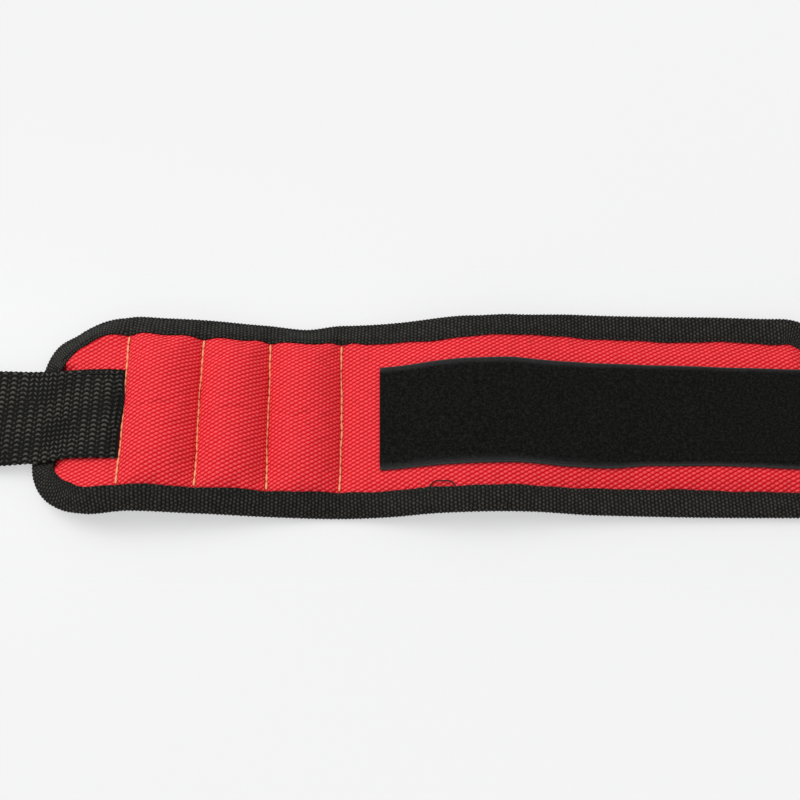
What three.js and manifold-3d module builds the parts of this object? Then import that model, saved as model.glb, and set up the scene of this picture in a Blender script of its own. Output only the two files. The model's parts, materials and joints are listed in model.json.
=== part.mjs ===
// Magnetic tool wristband, lying open with its outer face up.
// Millimetres: X runs along the band from the strap to the free end, Y across it, Z up.
// The band is drawn flat, as it is cut and sewn, and then cut at its fold lines into panels.
// Each panel is a group that lies at its own slope, so the whole band lies in soft waves.
import * as THREE from 'three';
import { mergeVertices } from 'three/addons/utils/BufferGeometryUtils.js';
import Module from 'manifold-3d';

const wasm = await Module();
wasm.setup();

// Magnets and the pockets that hold them
const magnetDiameter = 15;
const magnetThickness = 3;
const magnetGap = 1.3;
const magnetsPerPocket = 3;
const magnetClearance = 0.3;
const pocketCount = 3;
const pocketEndRoom = 5;
const pocketSideRoom = 4.22;
const paddingOverMagnet = 3.7;

// Lengths along the band
const endPanelLength = 34.2;
const loopPanelLength = 47;
const loopPanelCount = 4;

// Corner radii of the outline
const strapEndFrontRadius = 20;
const strapEndBackRadius = 30;
const freeEndRadius = 20;

// Cloth layers, with the gap that lies between any two of them
const layerGap = 0.3;
const bindingWidth = 10.2;
const bindingThickness = 0.7;
const liningEdgeThickness = 0.6;
const frontThickness = 0.7;
const foamThickness = 1.5;
const flankWidth = 3.5;

// Loop tape on the outer face
const loopTapeWidth = 40;
const loopTapeThickness = 1.4;
const loopTapeFromSeam = 16;
const loopTapeFromEnd = 13;

// Strap: webbing sewn to the end panel, with the hook patch under its tip
const webbingWidth = 35.5;
const webbingThickness = 1.5;
const strapRootLength = 41;
const strapTipLength = 46;
const strapTipRadius = 3;
const hookPatchWidth = 34;
const hookPatchThickness = 1.4;
const hookPatchFromFold = 4;
const hookPatchFromTip = 2;

// Fold lines: their height in the sandwich, the gap along them and the room to fold either way
const foldHeight = 1;
const panelFoldGap = 0.6;
const seamThreadRadius = 0.35;
const reliefAbove = THREE.MathUtils.degToRad(15);
const reliefBelow = THREE.MathUtils.degToRad(20);
const strapFoldGap = 0.6;
const strapFoldRelief = THREE.MathUtils.degToRad(30);
const strapFoldFromEdge = 0.8;

// Waves in which the band lies: crest height, and reach before and after the crest
const strapEndWave = { height: 9.3, before: 46.5, after: 80.5 };
const loopWave = { fromLastSeam: 60, height: 8.5, before: 59.5, after: 51 };

// Resolution of curved faces
const mergeDistance = 1e-4;
const arcSteps = 6;
const threadSides = 8;
const magnetSides = 20;
const pocketStepsAlong = 10;
const pocketStepsAcross = 14;

// Levels of the layers above the underside of the lining
const liningFlange = bindingThickness + layerGap;
const liningTop = liningFlange + liningEdgeThickness;
const frontFlange = liningTop + layerGap;
const frontFlangeTop = frontFlange + frontThickness;
const bindingUpperLeg = frontFlangeTop + layerGap;
const bindingTop = bindingUpperLeg + bindingThickness;
const foamTop = frontFlange + foamThickness;
const plateauTop = foamTop + layerGap + frontThickness;
const loopTapeBottom = plateauTop + layerGap;
const loopTapeTop = loopTapeBottom + loopTapeThickness;
const pocketRise = magnetThickness + paddingOverMagnet + layerGap;
const aboveAll = frontFlangeTop + pocketRise + loopTapeTop;

// Plan of the flat band
const seamFoldGap = 2 * (seamThreadRadius + layerGap);
const foldInset = (level, gap) =>
  gap / 2
  + Math.max(0, level - foldHeight) * Math.tan(reliefAbove)
  + Math.max(0, foldHeight - level) * Math.tan(reliefBelow);
const seamValley = foldInset(frontFlangeTop, seamFoldGap) + layerGap;
const pocketPitch = magnetDiameter + 2 * (pocketSideRoom + seamValley);
const magnetPitch = magnetDiameter + magnetGap;
const magnetRowLength = magnetsPerPocket * magnetPitch - magnetGap;
const bandWidth = magnetRowLength + 2 * (pocketEndRoom + bindingWidth);
const windowHalfWidth = bandWidth / 2 - bindingWidth;
const firstSeam = endPanelLength;
const lastSeam = firstSeam + pocketCount * pocketPitch;
const bandLength = lastSeam + loopPanelCount * loopPanelLength;
const sheetInset = bindingThickness + layerGap;
const windowInset = bindingWidth + layerGap;

const paint = (color, roughness, metalness = 0) =>
  new THREE.MeshStandardMaterial({ color, roughness, metalness });
const redFabric = paint(0xdc3a44, 0.75);
const blackTape = paint(0x2a2724, 0.8);
const blackWebbing = paint(0x282722, 0.7);
const blackPile = paint(0x171715, 0.95);
const meshCloth = paint(0x232323, 0.9);
const greyFoam = paint(0x8a8a88, 0.95);
const whiteFill = paint(0xe6e4de, 0.95);
const magnetMetal = paint(0xb9babd, 0.3, 1);
const yellowThread = paint(0xf0b31e, 0.6);

// Closed geometry to solid and back
function solid(geometry) {
  const bare = geometry.clone();
  bare.deleteAttribute('normal');
  bare.deleteAttribute('uv');
  const merged = mergeVertices(bare, mergeDistance);
  return new wasm.Manifold(
    new wasm.Mesh({
      numProp: 3,
      vertProperties: merged.attributes.position.array,
      triVerts: new Uint32Array(merged.index.array),
    }),
  );
}

function geometryOf(body) {
  const { vertProperties, triVerts } = body.getMesh();
  const indexed = new THREE.BufferGeometry();
  indexed.setAttribute('position', new THREE.BufferAttribute(vertProperties, 3));
  indexed.setIndex(new THREE.BufferAttribute(triVerts, 1));
  const faceted = indexed.toNonIndexed();
  faceted.computeVertexNormals();
  return faceted;
}

// Outline of the band, drawn in by an inset
function outline(inset) {
  const [left, right] = [inset, bandLength - inset];
  const [front, back] = [inset - bandWidth / 2, bandWidth / 2 - inset];
  const corner = (radius) => Math.max(radius - inset, layerGap);
  const strapFront = corner(strapEndFrontRadius);
  const strapBack = corner(strapEndBackRadius);
  const free = corner(freeEndRadius);
  const shape = new THREE.Shape();
  shape.moveTo(left + strapFront, front);
  shape.lineTo(right - free, front);
  shape.absarc(right - free, front + free, free, -Math.PI / 2, 0);
  shape.lineTo(right, back - free);
  shape.absarc(right - free, back - free, free, 0, Math.PI / 2);
  shape.lineTo(left + strapBack, back);
  shape.absarc(left + strapBack, back - strapBack, strapBack, Math.PI / 2, Math.PI);
  shape.lineTo(left, front + strapFront);
  shape.absarc(left + strapFront, front + strapFront, strapFront, Math.PI, 1.5 * Math.PI);
  return shape;
}

// A plan outline given a thickness
function prism(shape, bottom, top) {
  const options = { depth: top - bottom, bevelEnabled: false, curveSegments: arcSteps };
  return solid(new THREE.ExtrudeGeometry(shape, options).translate(0, 0, bottom));
}

// A side profile, points of X and Z, extruded across the band
function crosswise(points, width) {
  const shape = new THREE.Shape(points.map(([x, z]) => new THREE.Vector2(x, z)));
  const extruded = new THREE.ExtrudeGeometry(shape, { depth: width, bevelEnabled: false });
  return solid(extruded.rotateX(Math.PI / 2).translate(0, width / 2, 0));
}

const rectangle = (left, right, bottom, top) => [
  [left, bottom],
  [right, bottom],
  [right, top],
  [left, top],
];

// A raised tray with sloping flanks, filling the band's outline from its inset up to a level
function mound(inset, top) {
  const rise = plateauTop - frontFlangeTop;
  const body = plateauTop;
  const options = {
    depth: body,
    bevelThickness: rise,
    bevelSize: flankWidth,
    bevelOffset: -flankWidth,
    bevelSegments: 2,
    curveSegments: arcSteps,
  };
  return solid(new THREE.ExtrudeGeometry(outline(inset), options).translate(0, 0, top - rise - body));
}

// A closed blanket between two height functions over a grid of X and Y stations
function blanket(xs, ys, upper, lower) {
  const points = [];
  const faces = [];
  const columns = ys.length;
  for (const height of [upper, lower]) {
    for (const x of xs) {
      for (const y of ys) points.push(x, y, height(x, y));
    }
  }
  const at = (level, i, j) => level * xs.length * columns + i * columns + j;
  const quad = (a, b, c, d) => faces.push(a, b, c, a, c, d);
  for (let i = 0; i < xs.length - 1; i++) {
    for (let j = 0; j < columns - 1; j++) {
      quad(at(0, i, j), at(0, i + 1, j), at(0, i + 1, j + 1), at(0, i, j + 1));
      quad(at(1, i, j), at(1, i, j + 1), at(1, i + 1, j + 1), at(1, i + 1, j));
    }
    const last = columns - 1;
    quad(at(1, i, 0), at(1, i + 1, 0), at(0, i + 1, 0), at(0, i, 0));
    quad(at(0, i, last), at(0, i + 1, last), at(1, i + 1, last), at(1, i, last));
  }
  for (let j = 0; j < columns - 1; j++) {
    const last = xs.length - 1;
    quad(at(0, 0, j), at(0, 0, j + 1), at(1, 0, j + 1), at(1, 0, j));
    quad(at(1, last, j), at(1, last, j + 1), at(0, last, j + 1), at(0, last, j));
  }
  const geometry = new THREE.BufferGeometry();
  geometry.setAttribute('position', new THREE.Float32BufferAttribute(points, 3));
  geometry.setIndex(faces);
  return solid(geometry);
}

const stations = (from, to, steps) =>
  Array.from({ length: steps + 1 }, (_, i) => from + ((to - from) * i) / steps);

// Panels between fold lines, from the strap end to the free end
const panels = [];
function addPanel(name, length, gapBefore, gapAfter) {
  const start = panels.length ? panels.at(-1).end : 0;
  panels.push({ name, start, length, gapBefore, gapAfter, end: start + length });
}
addPanel('end_panel', endPanelLength, 0, seamFoldGap);
for (let k = 1; k <= pocketCount; k++) addPanel(`pocket_${k}`, pocketPitch, seamFoldGap, seamFoldGap);
for (let k = 1; k <= loopPanelCount; k++) {
  addPanel(`loop_panel_${k}`, loopPanelLength, k === 1 ? seamFoldGap : panelFoldGap, panelFoldGap);
}

// Height of a fold line above the table
function waveLift(x, crest, { height, before, after }) {
  const share = Math.min(1, Math.abs(x - crest) / (x < crest ? before : after));
  return (height * (1 + Math.cos(Math.PI * share))) / 2;
}
const lift = (x) =>
  waveLift(x, firstSeam, strapEndWave) + waveLift(x, lastSeam + loopWave.fromLastSeam, loopWave);

// Place of each panel: its first fold line and its slope
let foldX = 0;
for (const panel of panels) {
  panel.slope = Math.asin((lift(panel.end) - lift(panel.start)) / panel.length);
  panel.group = new THREE.Group();
  panel.group.name = panel.name;
  panel.group.position.set(foldX, 0, lift(panel.start) + foldHeight);
  panel.group.rotation.y = -panel.slope;
  foldX += panel.length * Math.cos(panel.slope);
}
const endPanel = panels[0];
const pockets = panels.slice(1, 1 + pocketCount);
const loopPanels = panels.slice(1 + pocketCount);

// The room of one panel between its two fold lines, widest at the fold height
function panelRoom(panel) {
  const beyond = panel.length;
  const low = panel.start - (panel === panels[0] ? beyond : 0);
  const high = panel.end + (panel === panels.at(-1) ? beyond : 0);
  const levels = [-foldHeight, foldHeight, aboveAll];
  const upTheEnd = levels.map((z) => [high - foldInset(z, panel.gapAfter), z]);
  const downTheStart = levels.map((z) => [low + foldInset(z, panel.gapBefore), z]).reverse();
  return crosswise([...upTheEnd, ...downTheStart], 2 * bandWidth);
}
for (const panel of panels) panel.room = panelRoom(panel);

function place(panel, name, body, material) {
  const mesh = new THREE.Mesh(geometryOf(body), material);
  mesh.name = name;
  mesh.position.set(-panel.start, 0, -foldHeight);
  panel.group.add(mesh);
}

const cutTo = (panel, body) => body.intersect(panel.room);

// Binding tape folded over the edge all round, as one open channel
const through = [-foldHeight, aboveAll];
const binding = prism(outline(0), 0, bindingTop)
  .subtract(prism(outline(bindingThickness), bindingThickness, bindingUpperLeg))
  .subtract(prism(outline(bindingWidth), ...through));

function placeBinding(panel, suffix) {
  const runs = cutTo(panel, binding).decompose();
  for (const run of runs) {
    const box = run.boundingBox();
    const side = runs.length === 1 ? 'end' : box.max[1] < 0 ? 'front' : 'back';
    place(panel, `binding_${side}_${suffix}`, run, blackTape);
  }
}

// Lining against the wrist: a padded window with a thin flange under the binding
const lining = prism(outline(sheetInset), liningFlange, liningTop).add(
  prism(outline(windowInset), 0, liningTop),
);

// Foam sheet under the flat stretches, and the red outer fabric drawn over it
const flatZones = {
  strap: { edge: firstSeam - seamValley, away: -1 },
  free: { edge: lastSeam + seamValley, away: 1 },
};

function zoneRoom({ edge, away }, bottom, top, inset) {
  const foot = edge + away * inset;
  const shoulder = foot + away * flankWidth;
  const far = foot + away * bandLength;
  const profile = [
    [foot, bottom],
    [foot, top - plateauTop + frontFlangeTop],
    [shoulder, top],
    [far, top],
    [far, bottom],
  ];
  return crosswise(profile, 2 * bandWidth);
}

function frontFabric(zone) {
  const outerRoom = zoneRoom(zone, frontFlange, plateauTop, 0);
  const innerRoom = zoneRoom(zone, 0, plateauTop - frontThickness, frontThickness);
  const outer = mound(windowInset, plateauTop).intersect(outerRoom);
  const inner = mound(windowInset + frontThickness, plateauTop - frontThickness).intersect(innerRoom);
  return prism(outline(sheetInset), frontFlange, frontFlangeTop).add(outer).subtract(inner);
}

function foamSheet(zone) {
  const inset = windowInset + frontThickness + flankWidth + layerGap;
  return prism(outline(inset), frontFlange, foamTop).intersect(
    zoneRoom(zone, 0, aboveAll, frontThickness + flankWidth + layerGap),
  );
}

// End panel, with the sewn end of the strap on it
const webbingOverBinding = bindingTop + layerGap;
const webbingOverPanel = plateauTop + layerGap;
const halfWebbing = webbingThickness / 2;
const strapBevel = halfWebbing * Math.tan(strapFoldRelief);
const anchorStart = strapFoldGap / 2 - strapFoldFromEdge;
const anchorEnd = firstSeam - foldInset(webbingOverPanel + webbingThickness, seamFoldGap) - layerGap;
const stepStart = bindingWidth;
const stepEnd = bindingWidth + flankWidth - layerGap;
const anchorUnderside = [
  [anchorStart + strapBevel, webbingOverBinding],
  [stepStart, webbingOverBinding],
  [stepEnd, webbingOverPanel],
  [anchorEnd, webbingOverPanel],
];
const anchorTop = anchorUnderside.map(([x, z]) => [x, z + webbingThickness]).reverse();
const anchorNose = [anchorStart, webbingOverBinding + halfWebbing];
const webbingAnchor = crosswise([...anchorUnderside, ...anchorTop, anchorNose], webbingWidth);
place(endPanel, 'lining_end', cutTo(endPanel, lining), meshCloth);
place(endPanel, 'foam_end', cutTo(endPanel, foamSheet(flatZones.strap)), greyFoam);
place(endPanel, 'front_end', cutTo(endPanel, frontFabric(flatZones.strap)), redFabric);
place(endPanel, 'webbing_anchor', webbingAnchor, blackWebbing);
placeBinding(endPanel, 'strap');

// Pockets: a puffed fabric panel over a padding that holds the magnets
const roomToRamp = 2.2;
const ramp = (distance, reach) => Math.sin((Math.PI / 2) * Math.min(1, Math.max(0, distance / reach)));
function puff(pocket, x, y) {
  const fromSeam = Math.min(x - pocket.start, pocket.end - x) - seamValley;
  const fromBinding = windowHalfWidth - Math.abs(y);
  return pocketRise
    * ramp(fromSeam, roomToRamp * pocketSideRoom)
    * ramp(fromBinding, roomToRamp * pocketEndRoom);
}

const stationsAlong = (pocket) =>
  stations(pocket.start + seamValley, pocket.end - seamValley, pocketStepsAlong);
const stationsAcross = stations(-windowHalfWidth, windowHalfWidth, pocketStepsAcross);

function pocketPanel(pocket) {
  const sheetHalfWidth = bandWidth / 2 - sheetInset;
  return blanket(
    [pocket.start, ...stationsAlong(pocket), pocket.end],
    [-sheetHalfWidth, ...stationsAcross, sheetHalfWidth],
    (x, y) => frontFlangeTop + puff(pocket, x, y),
    (x, y) => frontFlange + puff(pocket, x, y),
  );
}

const outerMagnet = (magnetRowLength - magnetDiameter) / 2;
const magnetPlaces = stations(-outerMagnet, outerMagnet, magnetsPerPocket - 1);

function magnetAt(pocket, y, clearance) {
  const radius = magnetDiameter / 2 + clearance;
  const height = magnetThickness + 2 * clearance;
  const disc = new THREE.CylinderGeometry(radius, radius, height, magnetSides).rotateX(Math.PI / 2);
  const middle = pocket.start + pocket.length / 2;
  return solid(disc.translate(middle, y, frontFlange + magnetThickness / 2));
}

function padding(pocket) {
  const pillow = blanket(
    stationsAlong(pocket).slice(1, -1),
    stationsAcross.slice(1, -1),
    (x, y) => frontFlange - layerGap + puff(pocket, x, y),
    () => frontFlange,
  );
  return magnetPlaces.reduce((body, y) => body.subtract(magnetAt(pocket, y, magnetClearance)), pillow);
}

pockets.forEach((pocket, i) => {
  const number = i + 1;
  place(pocket, `lining_pocket_${number}`, cutTo(pocket, lining), meshCloth);
  place(pocket, `padding_${number}`, padding(pocket), whiteFill);
  place(pocket, `pocket_panel_${number}`, cutTo(pocket, pocketPanel(pocket)), redFabric);
  placeBinding(pocket, `pocket_${number}`);
  magnetPlaces.forEach((y, j) => {
    place(pocket, `magnet_${number}_${j + 1}`, magnetAt(pocket, y, 0), magnetMetal);
  });
});

// Loop panels, with the loop tape sewn on them
const loopTape = crosswise(
  rectangle(lastSeam + loopTapeFromSeam, bandLength - loopTapeFromEnd, loopTapeBottom, loopTapeTop),
  loopTapeWidth,
);
const loopFront = frontFabric(flatZones.free);
const loopFoam = foamSheet(flatZones.free);
loopPanels.forEach((panel, i) => {
  const number = i + 1;
  place(panel, `lining_loop_${number}`, cutTo(panel, lining), meshCloth);
  place(panel, `foam_loop_${number}`, cutTo(panel, loopFoam), greyFoam);
  place(panel, `front_loop_${number}`, cutTo(panel, loopFront), redFabric);
  place(panel, `loop_tape_${number}`, cutTo(panel, loopTape), blackPile);
  placeBinding(panel, `loop_${number}`);
});

// Thread of the four pocket seams, lying along their fold lines
[...pockets, loopPanels[0]].forEach((panel, i) => {
  const length = 2 * windowHalfWidth - layerGap;
  const row = new THREE.CylinderGeometry(seamThreadRadius, seamThreadRadius, length, threadSides);
  place(panel, `seam_thread_${i + 1}`, solid(row.translate(panel.start, 0, foldHeight)), yellowThread);
});

// Free strap: a root that leaves the end panel and slopes to the table, and a tip that lies on it
const band = new THREE.Group();
for (const panel of panels) band.add(panel.group);
band.updateMatrixWorld(true);
const strapFold = endPanel.group.localToWorld(
  new THREE.Vector3(-strapFoldFromEdge, 0, webbingOverBinding + halfWebbing - foldHeight),
);
const strapRestHeight = hookPatchThickness + layerGap + halfWebbing;
const strapSlope = Math.asin((strapFold.z - strapRestHeight) / strapRootLength);

const strapRoot = new THREE.Group();
strapRoot.name = 'strap_root';
strapRoot.position.copy(strapFold);
strapRoot.rotation.y = -strapSlope;
const strapTip = new THREE.Group();
strapTip.name = 'strap_tip';
strapTip.position.set(strapFold.x - strapRootLength * Math.cos(strapSlope), 0, strapRestHeight);
band.add(strapRoot, strapTip);

function placeStrap(group, name, body, material) {
  const mesh = new THREE.Mesh(geometryOf(body), material);
  mesh.name = name;
  group.add(mesh);
}

// A length of webbing whose two ends come to an edge at half its thickness, so that it can fold there
function webbingLength(left, right) {
  const profile = [
    [left + strapBevel, -halfWebbing],
    [right - strapBevel, -halfWebbing],
    [right, 0],
    [right - strapBevel, halfWebbing],
    [left + strapBevel, halfWebbing],
    [left, 0],
  ];
  return crosswise(profile, webbingWidth);
}
const rootLength = webbingLength(strapFoldGap / 2 - strapRootLength, -strapFoldGap / 2);
placeStrap(strapRoot, 'webbing_root', rootLength, blackWebbing);

// A tongue that ends square at the fold and has small round corners at the tip
function tongue(left, right, width, radius) {
  const half = width / 2;
  const shape = new THREE.Shape();
  shape.moveTo(right, -half);
  shape.lineTo(right, half);
  shape.lineTo(left + radius, half);
  shape.absarc(left + radius, half - radius, radius, Math.PI / 2, Math.PI);
  shape.lineTo(left, radius - half);
  shape.absarc(left + radius, radius - half, radius, Math.PI, 1.5 * Math.PI);
  return shape;
}
const tipOutline = tongue(-strapTipLength, -strapFoldGap / 2, webbingWidth, strapTipRadius);
const tipRoom = webbingLength(-strapTipLength - webbingWidth, -strapFoldGap / 2);
const tipLength = prism(tipOutline, -halfWebbing, halfWebbing).intersect(tipRoom);
placeStrap(strapTip, 'webbing_tip', tipLength, blackWebbing);
const hookEnds = [hookPatchFromTip - strapTipLength, -hookPatchFromFold];
const hookOutline = tongue(...hookEnds, hookPatchWidth, strapTipRadius);
const hookPatch = prism(hookOutline, -strapRestHeight, hookPatchThickness - strapRestHeight);
placeStrap(strapTip, 'hook_patch', hookPatch, blackPile);

// The origin is under the middle of the whole part, on the table
const size = new THREE.Box3().setFromObject(band);
const middle = size.getCenter(new THREE.Vector3());
band.position.set(-middle.x, -middle.y, -size.min.z);
const wristband = new THREE.Group();
wristband.name = 'magnetic_wristband';
wristband.add(band);

export default wristband;
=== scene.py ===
"""Dresses the frame of a magnetic wristband in its fabric, tape, webbing and thread.

The band is worked out flat first: along it from the strap end, across it towards the back,
and above the underside of its lining. Each piece is then laid on the line that the band follows.
"""

import json
import math
import random

import bpy
import numpy as np
from bpy.props import FloatProperty, FloatVectorProperty, PointerProperty
from mathutils import Matrix, Vector


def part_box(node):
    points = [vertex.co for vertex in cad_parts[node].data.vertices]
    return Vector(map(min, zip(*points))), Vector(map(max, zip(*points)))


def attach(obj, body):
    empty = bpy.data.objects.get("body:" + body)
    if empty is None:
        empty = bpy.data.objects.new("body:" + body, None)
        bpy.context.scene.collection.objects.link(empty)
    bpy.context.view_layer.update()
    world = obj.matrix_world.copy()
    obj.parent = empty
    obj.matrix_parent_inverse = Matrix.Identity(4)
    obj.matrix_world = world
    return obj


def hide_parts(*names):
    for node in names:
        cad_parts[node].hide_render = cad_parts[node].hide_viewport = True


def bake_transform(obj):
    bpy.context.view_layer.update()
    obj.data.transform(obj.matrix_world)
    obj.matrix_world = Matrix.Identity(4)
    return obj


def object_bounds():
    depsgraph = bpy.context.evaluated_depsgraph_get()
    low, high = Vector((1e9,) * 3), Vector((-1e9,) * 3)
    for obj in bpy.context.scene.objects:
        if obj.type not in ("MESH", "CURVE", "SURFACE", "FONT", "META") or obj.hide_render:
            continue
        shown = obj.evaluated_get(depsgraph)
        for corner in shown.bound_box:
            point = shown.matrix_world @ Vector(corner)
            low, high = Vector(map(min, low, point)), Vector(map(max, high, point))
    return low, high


bl_info = {
    "name": "Magnetic Wristband",
    "version": (1, 0, 0),
    "blender": (4, 5, 0),
    "location": "View3D > Sidebar > Wristband",
    "description": "Makes the cloth, tape, webbing and stitching of a magnetic wristband",
    "category": "Object",
}

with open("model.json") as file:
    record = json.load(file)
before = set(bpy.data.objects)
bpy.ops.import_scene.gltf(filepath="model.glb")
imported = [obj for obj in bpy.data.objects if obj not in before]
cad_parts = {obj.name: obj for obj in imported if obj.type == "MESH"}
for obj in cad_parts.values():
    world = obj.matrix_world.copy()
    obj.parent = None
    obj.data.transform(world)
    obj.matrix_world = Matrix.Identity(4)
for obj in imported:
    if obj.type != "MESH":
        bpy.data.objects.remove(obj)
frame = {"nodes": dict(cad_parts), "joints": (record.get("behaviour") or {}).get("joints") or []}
CAD_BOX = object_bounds()

MM = 0.001
TURN = 2 * math.pi
PANELS = ["end_panel", "pocket_1", "pocket_2", "pocket_3"]
PANELS += ["loop_panel_1", "loop_panel_2", "loop_panel_3", "loop_panel_4"]
FOLD_NAMES = ["seam_1_fold", "seam_2_fold", "seam_3_fold", "seam_4_fold"]
FOLD_NAMES += ["loop_curl_1", "loop_curl_2", "loop_curl_3"]
SEAMS = 4
POCKETS = 3
LOOP_PARTS = "abc"
CORNER_STEPS = 46
BINDING_ROWS = (8, 8, 12)
FOLD_POINT = {j["name"]: np.array([j["pos_m"][0], j["pos_m"][2]]) for j in frame["joints"]}

# Cloth details in metres
SIDE_EASE = 10 * MM
TUCK = 4.5 * MM
SEAM_STRIP = 1.6 * MM
STRAP_FOLD_BEND = (1 * MM, 16 * MM)
STRAP_CURL_BEND = (14 * MM, 14 * MM)
SEAM_RISE = 9 * MM
LEVEL_RISE = 8 * MM
CREST_RISE = 16 * MM
END_FLANK = 6 * MM
LOOP_FLANK = 8 * MM
LAYER_GAP = 0.15 * MM
WALK_STEP = 0.4 * MM
SEAM_STEP = 0.4 * MM
END_STEP = 0.6 * MM
FRONT_STEP = 0.8 * MM
LINING_STEP = 1.2 * MM
FOAM_STEP = 2 * MM
TAPE_STEP = 0.45 * MM
WEBBING_STEP = (0.35 * MM, 0.24 * MM)
WADDING_STEP = (1.2 * MM, 1.5 * MM)
STITCH_GAP = 0.6 * MM
SEAM_SHIFT = (0, 0, -1.1 * MM, 0)
THREAD_LIFT = (0.5 * MM, 0.85 * MM, 0.85 * MM, 0.55 * MM)
RIB_PITCH = 1.34 * MM
RED_PITCH = (3.0 * MM, 1.61 * MM)
WEBBING_PITCH = (3.9 * MM, 1.78 * MM)
BINDING_PITCH = (2 * RIB_PITCH, 1.45 * MM)
BINDING_WEAVE = 0.04 * MM
RIB_FLAT = 0.06 * MM
RIB_ROUND = 0.1 * MM
EDGE_SAW = 0.12 * MM
BINDING_TACK_INSET = 1.7 * MM
BINDING_TACK = 0.4 * MM
TAPE_TACK = 0.35 * MM
TAPE_TACK_INSET = 0.9 * MM
STRAP_TACK = 0.32 * MM
STRAP_SEAM_END = 2.0 * MM
STRAP_SEAM_LENGTH = 20 * MM
STRAP_SEAM_SIDE = 2.2 * MM
STRAP_SEAM_LIFT = 0.08 * MM
LINING_PITCH = (3.2 * MM, 2.4 * MM)
SELVEDGE_NARROWS = (0.18, 0.23)
FOAM_INSET = 14 * MM
FOAM_BEFORE_SEAM = 6 * MM
FOAM_AFTER_SEAM = 8 * MM
FOAM_ROWS = 30
WADDING_INSET = 3.4 * MM
WADDING_LEVEL = 5.1 * MM
WADDING_DROP = 2.2 * MM
WADDING_SIDE = 16 * MM
PILE_FUZZ = 0.06 * MM
PILE_RISE = 0.5 * MM
LOOSE_FROM_SEAM = 33 * MM
LOOSE_SPAN = 9.5 * MM
LOOSE_BOW = 3.4 * MM
LOOSE_RADIUS = 0.24 * MM
LOOSE_POINTS = 41
LOOSE_SIDES = 9
HOOK_BASE = 0.6 * MM
HOOK_STEP = 1.5 * MM
HOOK_PITCH = 1.7 * MM
HOOK_BOW = 0.42 * MM
HOOK_WIRE = 0.11 * MM

# How the pocket fronts are blown up, on sheets enlarged for the simulation
PUFF_SCALE = 20
PUFF_FRAMES = 24
PUFF_MOST = 2.0 * MM
POCKET_CLOTH = {
    "quality": 8,
    "mass": 0.2,
    "tension_stiffness": 60,
    "compression_stiffness": 40,
    "shear_stiffness": 20,
    "bending_stiffness": 4.0,
    "vertex_group_mass": "held",
    "use_pressure": True,
    "uniform_pressure_force": 4.0,
    "shrink_min": -0.012,
}

# Floor, light and camera
FLOOR_SIZE = 6
FLOOR_LEVEL = -0.4 * MM
FLOOR_NEAR = 5 * MM
FLOOR_FADE = 25 * MM
FLOOR_CLEAR = 0.55
KEY_PLACE = (-0.55, 0.38, 0.95)
KEY_AIM = (0.02, 0, 0)
KEY_SIZE = 0.9
CAMERA_NEAR = 0.01


def length(name, default, description):
    """A length that a user may change."""
    return FloatProperty(name=name, default=default, description=description, unit="LENGTH", precision=5)


def colour(name, default, description):
    """A colour that a user may change."""
    return FloatVectorProperty(
        name=name, default=default, description=description, subtype="COLOR", min=0, max=1
    )


class WristbandSizes(bpy.types.PropertyGroup):
    """Sizes of the cloth, tape and thread."""

    half_width: length("Half width", 0.039, "From the band's middle line to its edge")
    fold_height: length("Fold height", 0.001, "Height of the fold line over the lining")
    end_length: length("Strap end", 0.0342, "From the strap end to the first seam")
    end_slope: FloatProperty(
        name="Strap end slope",
        default=math.radians(13.157),
        subtype="ANGLE",
        description="How steeply the strap end rises to the first seam",
    )
    corner_front: length("Front corner", 0.020, "Radius of the strap end's front corner")
    corner_back: length("Back corner", 0.030, "Radius of the strap end's back corner")
    corner_free: length("Free corners", 0.020, "Radius of the free end's corners")
    binding_thickness: length("Binding thickness", 0.0006, "Thickness of the binding tape")
    binding_fold: length("Binding fold", 0.0013, "Radius of the binding's outer fold")
    binding_width: length("Binding width", 0.0098, "Width of the binding's legs")
    fabric_thickness: length("Fabric thickness", 0.0007, "Thickness of the red fabric")
    lining_thickness: length("Lining thickness", 0.0012, "Thickness of the spacer mesh")
    foam_thickness: length("Foam thickness", 0.0015, "Thickness of the foam sheet")
    pocket_crest: length("Pocket crest", 0.0101, "Height of a puffed pocket")
    seam_level: length("Seam level", 0.0033, "Height of the fabric in a seam")
    loop_level: length("Loop level", 0.0049, "Height of the fabric beside the loop tape")
    tape_width: length("Loop tape width", 0.040, "Width of the loop tape")
    tape_thickness: length("Loop tape thickness", 0.0014, "Thickness of the loop tape")
    tape_from_seam: length("Loop tape start", 0.0155, "From the last seam to the loop tape")
    tape_from_end: length("Loop tape end", 0.013, "From the loop tape to the free end")
    selvedge: length("Selvedge", 0.0018, "Smooth edge of the loop tape")
    webbing_width: length("Webbing width", 0.0348, "Width of the strap webbing")
    webbing_thickness: length("Webbing thickness", 0.0014, "Thickness of the webbing")
    webbing_from_seam: length("Webbing end", 0.0005, "From the sewn webbing to the first seam")
    hook_width: length("Hook patch width", 0.034, "Width of the hook patch")
    thread_width: length("Seam thread width", 0.0009, "Width of a yellow stitch")
    stitch_length: length("Seam stitch", 0.0034, "Pitch of the yellow stitches")
    tack_length: length("Edge stitch", 0.0032, "Pitch of the black stitches")


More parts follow.
